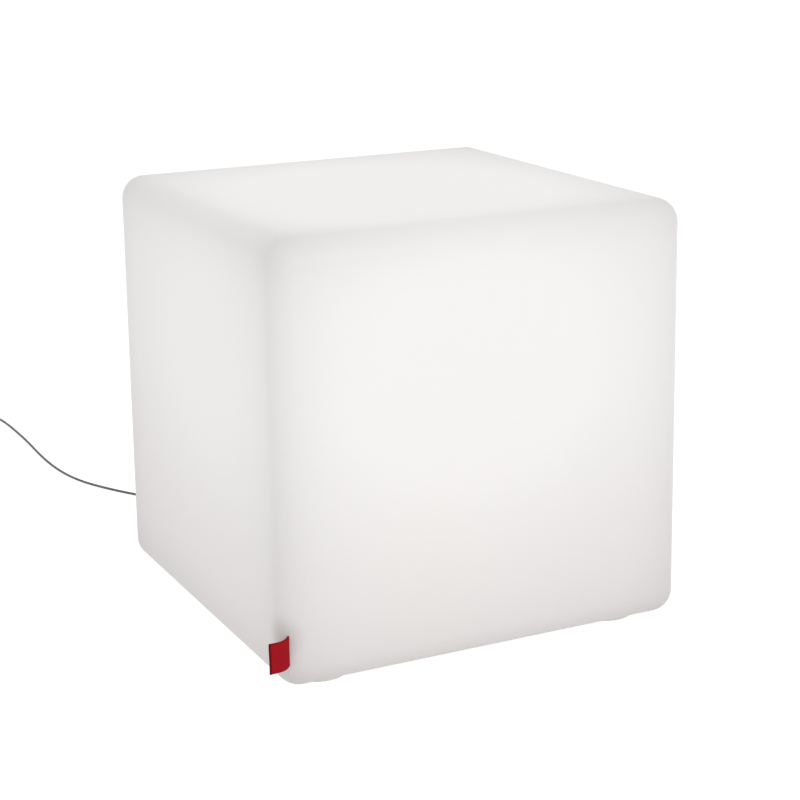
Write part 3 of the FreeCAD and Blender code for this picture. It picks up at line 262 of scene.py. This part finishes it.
# Painted shade grey for the colour round the label's root, and a painted highlight white for the
# seam below it.
painted_shade_grey, painted_seam_highlight = (0.62, 0.59, 0.585), (0.94, 0.93, 0.92)
milk = Finish("milky_polyethylene", Roughness=0.46, IOR=1.5, Emission_Strength=0.32)
across, along, up = (milk.axis(index) for index in range(3))
gap = milk.distance(lamp_heart)
near = (cube_half ** 2 / (gap * gap)).at_most(1.0)
edge = ((across / cube_half).size() ** edge_power + (along / cube_half).size() ** edge_power
        + ((up - cube_middle) / cube_rise).size() ** edge_power - 1.0).at_least(0.0).at_most(1.0)
# Round the label's root: a shallow dimple in the bump, and painted shade in the colour and the
# glow.
dimple_and_painted_shade = 1.0 - milk.distance(label_root).between(0.003, 0.026)
# Down the corner below the label: a seam in the bump, and a painted highlight in the colour.
seam_and_painted_highlight = ((across - along).size().between(*seam_width)
        * (seam_corner - across).between(0.0, 0.001) * up.between(*seam_top))
# The lamp's light through the wall, painted into the emission colour: brighter near the lamp and
# higher up, dimmer along the edges, and darker round the label's root as painted shade.
glow = (near * heart_glow + up.between(0.0, 0.28) * high_glow - edge * edge_dimming
        - dimple_and_painted_shade * painted_shade_dimming + even_glow)
milk.set(Emission_Color=milk.blend(glow.at_least(0.0), (0, 0, 0), warm_glow))
low_tone = milk.blend(milk.noise(5.0, 1.0).between(0.35, 0.7), low_white, low_grey)
tone = milk.blend(up.between(0.02, 0.26), low_tone, high_white)
# Painted shade greys the colour round the label's root.
tone = milk.blend(dimple_and_painted_shade * 0.5, tone, painted_shade_grey)
# A painted highlight lightens the colour along the seam.
milk.set(Base_Color=milk.blend(seam_and_painted_highlight, tone, painted_seam_highlight))
peel = milk.bump(milk.noise(420.0), 0.00002)
cast = milk.bump(milk.noise(9.0, 1.0), 0.0006, peel)
milk.set(Normal=milk.bump(seam_and_painted_highlight - dimple_and_painted_shade * 2.0, 0.0004, cast))
coat(milk, "cube_shell")


# ---- Brass inserts and zinc-plated steel screws. Inserts pressed into the shell's bosses take
# ---- the screws of the feet and the ring; the other screws bite into plastic or aluminium. The
# ---- rocker's pin and the switch's contacts are of the same two metals.
def turned_metal(name, colour, dark, roughness):
    """Metal from a lathe, with a little tarnish and fine tool marks."""
    metal = Finish(name, Metallic=1.0)
    stain = metal.noise(240.0, 3.0)
    metal.set(Base_Color=metal.blend(stain.between(0.35, 0.8), colour, dark),
              Roughness=metal.noise(900.0) * 0.2 + (roughness - 0.1),
              Normal=metal.bump(metal.noise(2600.0), 0.00001))
    return metal


zinc = turned_metal("zinc_plate", (0.62, 0.63, 0.64), (0.50, 0.50, 0.50), 0.34)
brass = turned_metal("turned_brass", (0.78, 0.60, 0.30), (0.62, 0.45, 0.20), 0.30)
coat(zinc, "foot_screws", "ring_screws", "driver_screws", "post_screws", "led_board_screws",
     "switch_screws", "adapter_screws", "rocker_pin")
coat(brass, "foot_inserts", "ring_inserts", "switch_contacts")


# ---- Feet. Four moulded pads in the shell's own colour, each on a spigot in the shell and
# ---- held by a screw from below.
def moulded(name, light, dark, roughness, grain=900.0, depth=0.00002, **fixed):
    """Moulded plastic or rubber: two close tones in soft clouds, and the grain of the tool."""
    plastic = Finish(name, **fixed)
    plastic.tone = plastic.blend(plastic.noise(60.0).between(0.35, 0.7), light, dark)
    plastic.grain = plastic.bump(plastic.noise(grain), depth)
    plastic.set(Base_Color=plastic.tone, Roughness=plastic.noise(220.0) * 0.16 + (roughness - 0.08),
                Normal=plastic.grain)
    return plastic


# The pads get a faint warm emission: a painted glow that stands in for the light the floor throws
# up under the cube.
pad = moulded("foot_pad_painted_glow", (0.80, 0.77, 0.76), (0.77, 0.74, 0.73), 0.5, 700.0, 0.00003,
              Emission_Color=(1.0, 0.97, 0.955), Emission_Strength=0.12)
coat(pad, "foot_front_left", "foot_front_right", "foot_back_left", "foot_back_right")


# ---- Label. A red satin ribbon, woven, folded once and left bare. Both tails are held in the
# ---- slit on the front left edge; the loop bends to the left and droops a little.
label_low, label_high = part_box("label_tag")
ribbon_width = label_high[2] - label_low[2]
flap_length, ply_gap, fold_gap, ribbon_thickness = 0.0272, 0.0009, 0.0018, 0.00042
slit_start, wall_face, fold_ease = -0.21014, 0.004, 0.003
droop, droop_reach = 0.0015, 0.004
ripple_height, ripple_turns, ripple_start = 0.0004, 190, 0.01
slit_heading, end_heading = math.radians(225), math.radians(182)
bend_from, bend_share, flap_steps = 0.1, 0.7, 60
warp_pitch, weft_pitch = 0.0004, 0.0005
deep_red, bright_red = (0.40, 0.005, 0.011), (0.46, 0.008, 0.016)
# The last red is a painted shade for the fold, where the ribbon turns away from the light.
selvedge_red, painted_fold_shade_red = (0.26, 0.004, 0.009), (0.07, 0.002, 0.005)


def flap_line():
    """Points and headings along the middle of the flap, from the slit to the fold."""
    x = y = slit_start
    line = []
    for step in range(flap_steps + 1):
        share = min(max((step / flap_steps - bend_from) / bend_share, 0), 1)
        heading = slit_heading + (end_heading - slit_heading) * share * share * (3 - 2 * share)
        line.append((x, y, heading))
        x += math.cos(heading) * flap_length / flap_steps
        y += math.sin(heading) * flap_length / flap_steps
    return line


flap = flap_line()
fold_length = math.pi * fold_gap / 2
ribbon_length = 2 * flap_length + fold_length


def ribbon_place(share, height):
    """Where a point of the cut ribbon lies once the ribbon is folded and sewn in."""
    run = share * ribbon_length
    if flap_length < run < flap_length + fold_length:
        x, y, heading = flap[-1]
        turn = math.pi * (run - flap_length) / fold_length
        aside, ahead = math.cos(turn) * fold_gap / 2, math.sin(turn) * fold_gap / 2
        along_flap = flap_length
    else:
        along_flap = run if run <= flap_length else ribbon_length - run
        step = along_flap / flap_length * flap_steps
        first = min(int(step), flap_steps - 1)
        x, y, heading = (a + (b - a) * (step - first) for a, b in zip(flap[first], flap[first + 1]))
        opening = math.exp(-(flap_length - along_flap) / fold_ease)
        aside = (ply_gap + (fold_gap - ply_gap) * opening) / 2 * (1 if run <= flap_length else -1)
        ahead = 0
    out = max(along_flap - wall_face, 0)
    drop = droop * (1 - math.exp(-out / droop_reach))
    aside += ripple_height * math.sin(height * ripple_turns) * min(out / ripple_start, 1)
    return Vector((x - aside * math.sin(heading) + ahead * math.cos(heading),
                   y + aside * math.cos(heading) + ahead * math.sin(heading),
                   label_low[2] + height - drop))


bpy.ops.mesh.primitive_grid_add(x_subdivisions=110, y_subdivisions=14, size=1)
ribbon = bpy.context.object
ribbon.name = "ribbon_label"
for vertex in ribbon.data.vertices:
    vertex.co = ribbon_place(vertex.co.x + 0.5, (vertex.co.y + 0.5) * ribbon_width)
solid = ribbon.modifiers.new("cloth_thickness", "SOLIDIFY")
solid.thickness, solid.offset = ribbon_thickness, 0
bpy.ops.object.modifier_apply(modifier=solid.name)
bpy.ops.object.shade_smooth_by_angle(angle=math.radians(40))
satin = Finish("red_woven_ribbon", Roughness=0.8, Specular_IOR_Level=0.12)
length_way, width_way = (satin.axis(index, "UV") for index in range(2))
warp = (width_way * (2 * math.pi * ribbon_width / warp_pitch)).wave()
weft = (length_way * (2 * math.pi * ribbon_length / weft_pitch)).wave()
selvedge = (width_way - 0.5).size().between(0.462, 0.474)
# Painted shade along the fold, where the ribbon turns away from the light.
painted_fold_shade = 1.0 - (length_way - 0.5).size().between(0.022, 0.052)
red = satin.blend((warp * weft) * 0.5 + 0.5, deep_red, bright_red)
red = satin.blend(selvedge * 0.5, red, selvedge_red)
satin.set(Base_Color=satin.blend(painted_fold_shade * 0.8, red, painted_fold_shade_red),
          Normal=satin.bump(warp * weft * (1.0 - selvedge) + selvedge * weft * 1.6, 0.00003))
ribbon.data.materials.append(satin.material)
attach(ribbon, "root")
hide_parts("label_tag")


# ---- Mounting ring. A white polycarbonate ring screwed under the recess ceiling; the lugs of
# ---- the lamp unit turn in above its lip.
white_plastic = moulded("white_polycarbonate", (0.80, 0.79, 0.77), (0.76, 0.75, 0.73), 0.38)
coat(white_plastic, "mounting_ring")


# ---- Cover of the lamp unit. One moulding in white with a flange, a collar and a grip bar,
# ---- spark-eroded outside; a flat ring of silicone seals its flange.
cover_plastic = moulded("cover_polycarbonate", (0.74, 0.73, 0.71), (0.70, 0.69, 0.67), 0.5, 520.0,
                        0.00005)
coat(cover_plastic, "lamp_cover")
seal_rubber = moulded("seal_silicone", (0.055, 0.055, 0.058), (0.075, 0.075, 0.078), 0.62)
coat(seal_rubber, "cover_gasket", "gland_seal")


# ---- Cable gland. A body screwed through the cover, a locknut inside, and a cap nut that
# ---- squeezes a rubber seal on the lead. All three are grey polyamide, with knurl marks.
knurl_ridges, knurl_depth = 48.0, 0.00008
polyamide = moulded("gland_polyamide", (0.23, 0.235, 0.24), (0.19, 0.195, 0.20), 0.42)
gland_x, gland_y = polyamide.axis(0), polyamide.axis(1)
knurl = (gland_y.sum("ARCTAN2", gland_y, gland_x) * knurl_ridges).wave()
polyamide.set(Normal=polyamide.bump(knurl, knurl_depth, polyamide.grain))
coat(polyamide, "gland_body", "gland_nut", "gland_locknut")


# ---- Driver board and its parts. Green glass-fibre laminate with copper tracks under the mask;
# ---- a lacquered copper coil, sleeved capacitors, a black chip and a green terminal block.
def laminate(name, mask, track, pitch, width):
    """A circuit board: its mask, with tracks that run in steps along X and Y."""
    board = Finish(name, Roughness=0.35)
    drift = board.noise(70.0, 0.0) * 4.0
    lanes = [(board.axis(index) * (2 * math.pi / pitch) + drift).wave().between(width, width + 0.08)
             for index in range(2)]
    track_mask = lanes[0].at_least(lanes[1]) * board.noise(45.0, 0.0).between(0.5, 0.53)
    board.set(Base_Color=board.blend(track_mask, mask, track), Coat_Weight=0.4,
              Normal=board.bump(track_mask, 0.00004, board.bump(board.noise(1800.0), 0.00001)))
    return board


coat(laminate("green_laminate", (0.012, 0.10, 0.035), (0.05, 0.26, 0.09), 0.0042, 0.55),
     "driver_board")
strand_pitch = 0.0007
winding = Finish("copper_winding", Metallic=1.0, Roughness=0.3)
# Each turn is a ridge in the bump, and painted shade darkens the colour in the grooves between
# turns.
turn_ridges_and_painted_shade = (winding.axis(2) * (2 * math.pi / strand_pitch)).wave()
winding.set(Base_Color=winding.blend(turn_ridges_and_painted_shade * 0.5 + 0.5, (0.42, 0.16, 0.06), (0.80, 0.38, 0.19)),
            Normal=winding.bump(turn_ridges_and_painted_shade, 0.0001))
coat(winding, "driver_coil")


def sleeved_can(name, end_axis, sleeve):
    """A capacitor: a printed sleeve with a pale stripe round an aluminium can with bare ends."""
    can = Finish(name, Roughness=0.35)
    end = can.axis(end_axis, "Normal").size().between(0.75, 0.9)
    stripe = can.axis(0 if end_axis else 1, "Normal").between(0.82, 0.86)
    sleeve_colour = can.blend(stripe, sleeve, (0.55, 0.56, 0.60))
    can.set(Base_Color=can.blend(end, sleeve_colour, (0.66, 0.67, 0.69)), Metallic=end,
            Normal=can.bump(can.noise(700.0), 0.00002))
    return can


coat(sleeved_can("blue_capacitor", 2, (0.012, 0.03, 0.12)), "driver_capacitors")
coat(moulded("chip_epoxy", (0.018, 0.018, 0.02), (0.03, 0.03, 0.032), 0.5, 1500.0), "driver_chip")
coat(moulded("terminal_polyamide", (0.02, 0.19, 0.10), (0.015, 0.15, 0.08), 0.4), "terminal_block")


# ---- Driver can. A white moulded cup whose rim plugs into the collar; it carries the post and
# ---- keeps damp and fingers off the board.
coat(moulded("can_plastic", (0.78, 0.775, 0.76), (0.72, 0.715, 0.70), 0.45, 620.0, 0.00003),
     "driver_can")


# ---- Post, heat sink and pad. The post is a drawn aluminium tube with a flange, screwed to the
# ---- can; the finned sink is pushed over its top, and a soft grey pad brings it the heat.
def drawn_aluminium(name, colour, dark, stretch):
    """Aluminium with fine lines that run the way it was drawn or turned."""
    metal = Finish(name, Metallic=1.0)
    line = metal.noise(1100.0, 2.0, stretch)
    metal.set(Base_Color=metal.blend(line.between(0.3, 0.7), colour, dark),
              Roughness=line * 0.22 + 0.24, Normal=metal.bump(line, 0.00002))
    return metal


coat(drawn_aluminium("drawn_aluminium", (0.74, 0.75, 0.76), (0.62, 0.63, 0.64), (1, 1, 0.02)),
     "lamp_post")
coat(drawn_aluminium("sink_aluminium", (0.64, 0.65, 0.66), (0.54, 0.55, 0.56), (0.1, 0.1, 1)),
     "heat_sink")
coat(moulded("thermal_silicone", (0.30, 0.32, 0.36), (0.36, 0.38, 0.42), 0.75, 1200.0, 0.00004),
     "thermal_pad")


# ---- LED board and chips. A round aluminium board under a white mask, with one tinned track
# ---- through its ring of chips; each chip is a white package filled with yellow phosphor.
led_ring, track_edge = 0.018, (0.0004, 0.0006)
mask = Finish("white_led_board", Roughness=0.4)
board_x, board_y = mask.axis(0), mask.axis(1)
radius = (board_x * board_x + board_y * board_y) ** 0.5
track = 1.0 - (radius - led_ring).size().between(*track_edge)
mask.set(Base_Color=mask.blend(track, (0.86, 0.86, 0.84), (0.60, 0.58, 0.52)), Metallic=track,
         Normal=mask.bump(track, 0.00004, mask.bump(mask.noise(1500.0), 0.00001)))
coat(mask, "led_board")
chip = Finish("phosphor_chip", Roughness=0.5, Emission_Strength=1.2)
chip_top = chip.axis(2, "Normal").between(0.7, 0.8)
phosphor = chip.blend(chip.noise(2600.0).between(0.3, 0.7), (0.85, 0.66, 0.10), (0.90, 0.76, 0.22))
chip.set(Base_Color=chip.blend(chip_top, (0.82, 0.82, 0.80), phosphor),
         Emission_Color=chip.blend(chip_top, (0, 0, 0), (1.0, 0.86, 0.62)))
coat(chip, "led_chips")


# ---- Diffuser dome and its ring. The dome is opal polycarbonate, lit from under; that light is
# ---- painted into its emission as a glow, brightest over the middle of its base. A white ring
# ---- holds its rim down on the heat sink.
opal = moulded("opal_polycarbonate", (0.74, 0.73, 0.71), (0.71, 0.70, 0.68), 0.35, 300.0, 0.00002,
               Emission_Strength=0.28)
# Painted glow: brightest near the middle of the dome's base, dimmer further up.
painted_glow_core = 1.0 - opal.distance((0, 0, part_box("diffuser_dome")[0][2])).between(0.012, 0.045)
opal.set(Emission_Color=opal.blend(painted_glow_core, (0.62, 0.58, 0.52), (1.0, 0.97, 0.92)))
coat(opal, "diffuser_dome")
coat(white_plastic, "dome_ring")


# ---- Wires inside the unit. Two single wires in red and black vinyl climb from the driver to
# ---- the LED board through the post.
coat(moulded("red_vinyl", (0.42, 0.02, 0.02), (0.34, 0.015, 0.015), 0.32), "wire_red")
coat(moulded("black_vinyl", (0.02, 0.02, 0.022), (0.032, 0.032, 0.034), 0.32), "wire_black")


# ---- Lead. A round two-core flex in grey rubber, 3 mm thick and about 3 m long. It leaves the
# ---- gland under the cube, lies behind it on the floor, and runs into the switch.
sheath = moulded("lead_rubber", (0.10, 0.10, 0.105), (0.15, 0.15, 0.152), 0.5, 1500.0)
coat(sheath, "lead_inner_end")
lead_radius, floor_line = 0.0015, 1.6


def lay_lead(name, points):
    """A length of the lead, on a smooth line led by these points in millimetres."""
    curve = bpy.data.curves.new(name, "CURVE")
    curve.dimensions = "3D"
    line = curve.splines.new("NURBS")
    line.points.add(len(points) - 1)
    for knot, (x, y, z) in zip(line.points, points):
        knot.co = (x / 1000, y / 1000, z / 1000, 1)
    line.order_u = 3
    line.use_endpoint_u = True
    line.resolution_u = 8
    curve.bevel_depth, curve.bevel_resolution = lead_radius, 3
    curve.use_fill_caps = True
    made = bpy.data.objects.new(name, curve)
    scene.collection.objects.link(made)
    curve.materials.append(sheath.material)
    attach(made, "root")
    return made


lead_from_cube = lay_lead("lead_from_cube", [
    (0, 0, 31.1), (0, 0, 18.1), (1, 7, 6.9), (2, 19, floor_line), (4, 36, floor_line),
    (9, 66, floor_line), (12, 104, floor_line), (9, 145, floor_line), (6, 190, floor_line),
    (0, 235, floor_line), (-17, 280, floor_line), (-47, 321, floor_line), (-82, 356, floor_line),
    (-115, 392, floor_line), (-144, 431, floor_line), (-167, 470, floor_line),
    (-187, 512, floor_line), (-198, 558, floor_line), (-202, 608, floor_line),
    (-202, 660, floor_line), (-200, 712, floor_line), (-200, 764, floor_line),
    (-201, 810, floor_line), (-204, 846, floor_line), (-212, 872, floor_line),
    (-227, 888, floor_line + 1), (-250, 891, 5), (-260, 891, 5)])
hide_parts("lead_run")


# ---- In-line switch. Two charcoal halves screwed together over brass contacts, a rocker on a
# ---- steel pin with its two generic marks, and a tapered rubber sleeve at each end.
def charcoal_case(name, axis, joint):
    """Charcoal plastic, spark-eroded, with a dark line where the two halves of a case meet."""
    case = moulded(name, (0.03, 0.03, 0.032), (0.042, 0.042, 0.044), 0.48, 640.0, 0.00004)
    line = 1.0 - (case.axis(axis) - joint).size().between(0.00012, 0.00026)
    case.set(Base_Color=case.blend(line, case.tone, (0.004, 0.004, 0.004)),
             Normal=case.bump(line * -1.0, 0.0002, case.grain))
    return case


coat(charcoal_case("switch_charcoal", 2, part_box("switch_base")[1][2]),
     "switch_base", "switch_cover")
sleeve_pitch = 0.003
sleeve_rubber = moulded("sleeve_rubber", (0.045, 0.045, 0.047), (0.06, 0.06, 0.062), 0.6)
groove = (sleeve_rubber.axis(0) * (2 * math.pi / sleeve_pitch)).wave().between(0.3, 0.8)
sleeve_rubber.set(Normal=sleeve_rubber.bump(groove, 0.0003))
coat(sleeve_rubber, "switch_relief_front", "switch_relief_rear", "adapter_relief")
rocker_low, rocker_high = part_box("switch_rocker")
rocker_x, rocker_y = ((low + high) / 2 for low, high in zip(rocker_low[:2], rocker_high[:2]))
mark_reach, mark_size, stroke = 0.0056, 0.0014, (0.0002, 0.0003)
glossy_rocker = moulded("glossy_rocker", (0.02, 0.02, 0.022), (0.028, 0.028, 0.03), 0.22)
off_x = (glossy_rocker.axis(0) - (rocker_x + mark_reach)) ** 2.0
side_y = glossy_rocker.axis(1) - rocker_y
ring_gap = ((off_x + side_y * side_y) ** 0.5 - mark_size).size()
off_mark = 1.0 - ring_gap.between(*stroke)
on_gap = (glossy_rocker.axis(0) - (rocker_x - mark_reach)).size()
on_mark = (1.0 - on_gap.between(*stroke)) * (1.0 - side_y.size().between(0.0016, 0.0017))
mark = off_mark.at_least(on_mark) * glossy_rocker.axis(2, "Normal").between(0.6, 0.8)
glossy_rocker.set(Base_Color=glossy_rocker.blend(mark, (0.022, 0.022, 0.024), (0.78, 0.78, 0.77)),
                  Normal=glossy_rocker.bump(mark * -1.0, 0.0001))
coat(glossy_rocker, "switch_rocker")


# ---- Coil. The rest of the lead is put away as four layers of four turns, held by one rubber
# ---- strap, and then led to the plug.
coil_x, coil_y, columns = -345, 845, (22.5, 19.5, 16.5, 13.5)
layers, layer_rise, steps, climb_start, climb_steps = 4, 3, 12, 8, 2
spread = 1 / math.cos(math.pi / steps)
turns = []
for turn in range(layers * len(columns)):
    layer, column = divmod(turn, len(columns))
    order = columns if layer % 2 == 0 else columns[::-1]
    last_column = column == len(columns) - 1
    here, level = order[column], floor_line + layer_rise * layer
    after = here if last_column else order[column + 1]
    climb = layer_rise if last_column and layer < layers - 1 else 0
    for step in range(steps):
        way = math.pi + step * 2 * math.pi / steps
        reach = (here if step < steps - 1 else (here + after) / 2) * spread
        lift = level + climb * min(max((step - climb_start) / climb_steps, 0), 1)
        turns.append((coil_x + reach * math.cos(way), coil_y + reach * math.sin(way), lift))
lead_to_plug = lay_lead("lead_to_plug", [
    (-352, 891, 5), (-361, 891, 5), (-372, 886, floor_line), (-375, 872, floor_line),
    (-370.5, 858, floor_line), *turns, (-367.5, 845, 10.4), (-366, 831, 10.4),
    (-361.5, 818, 5.6), (-356, 804, floor_line), (-347, 792, floor_line),
    (-337, 784, floor_line + 2), (-316, 784, 6), (-308, 784, 6)])
strap_width, strap_thickness, strap_half, strap_top = 0.006, 0.0008, 0.0066, 0.0126
strap_x, strap_y, strap_lift = (coil_x + 18) / 1000, coil_y / 1000 - strap_width / 2, 0.0004
corner_power = 6
bpy.ops.mesh.primitive_circle_add(vertices=48, radius=1)
coil_tie = bpy.context.object
coil_tie.name = "coil_tie"
for vertex in coil_tie.data.vertices:
    side, rise = vertex.co.x, vertex.co.y
    round_off = (abs(side) ** corner_power + abs(rise) ** corner_power) ** (-1 / corner_power)
    vertex.co = (strap_x + side * round_off * strap_half, strap_y,
                 strap_top / 2 + strap_lift + rise * round_off * strap_top / 2)
bpy.ops.object.mode_set(mode="EDIT")
bpy.ops.mesh.select_all(action="SELECT")
bpy.ops.mesh.extrude_region_move(TRANSFORM_OT_translate={"value": (0, strap_width, 0)})
bpy.ops.mesh.select_all(action="SELECT")
bpy.ops.mesh.normals_make_consistent(inside=False)
bpy.ops.object.mode_set(mode="OBJECT")
solid = coil_tie.modifiers.new("strap_thickness", "SOLIDIFY")
solid.thickness, solid.offset = strap_thickness, 0
bevel = coil_tie.modifiers.new("strap_edges", "BEVEL")
bevel.width, bevel.segments = 0.0002, 2
for modifier in (solid.name, bevel.name):
    bpy.ops.object.modifier_apply(modifier=modifier)
bpy.ops.object.shade_smooth_by_angle(angle=math.radians(40))
coil_tie.data.materials.append(sleeve_rubber.material)
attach(coil_tie, "root")
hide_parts("lead_to_coil", "lead_coil", "lead_to_adapter")


# ---- Plug-in power adapter. A charcoal cover screwed to the base that carries the pins, round
# ---- a board with its transformer and capacitor. The pins are nickel with a dark sleeve.
coat(charcoal_case("adapter_charcoal", 1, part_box("adapter_cover")[1][1]),
     "adapter_cover", "adapter_base")
sleeve_length, sheet_pitch, tape_half = 0.010, 0.0008, 0.0075
sleeve_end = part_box("adapter_base")[1][1] + sleeve_length
pin_metal = Finish("nickel_pin", Roughness=0.28)
bare = pin_metal.axis(1).between(sleeve_end - 0.0001, sleeve_end)
pin_metal.set(Base_Color=pin_metal.blend(bare, (0.03, 0.03, 0.032), (0.70, 0.69, 0.66)),
              Metallic=bare, Normal=pin_metal.bump(pin_metal.noise(2200.0), 0.00001))
coat(pin_metal, "plug_pins")
coat(laminate("brown_laminate", (0.20, 0.10, 0.035), (0.34, 0.19, 0.08), 0.0050, 0.45),
     "adapter_board")
core_low, core_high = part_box("adapter_transformer")
core_x = (core_low[0] + core_high[0]) / 2
core_iron = Finish("laminated_core", Roughness=0.45)
sheets = (core_iron.axis(2) * (2 * math.pi / sheet_pitch)).wave()
taped = 1.0 - (core_iron.axis(0) - core_x).size().between(tape_half, tape_half + 0.0002)
steel = core_iron.blend(sheets * 0.5 + 0.5, (0.12, 0.12, 0.125), (0.24, 0.24, 0.25))
core_iron.set(Base_Color=core_iron.blend(taped, steel, (0.62, 0.45, 0.05)),
              Metallic=(1.0 - taped) * 0.9,
              Normal=core_iron.bump(sheets * (1.0 - taped) + taped * 2.0, 0.00005))
coat(core_iron, "adapter_transformer")
coat(sleeved_can("black_capacitor", 1, (0.02, 0.02, 0.022)), "adapter_capacitor")
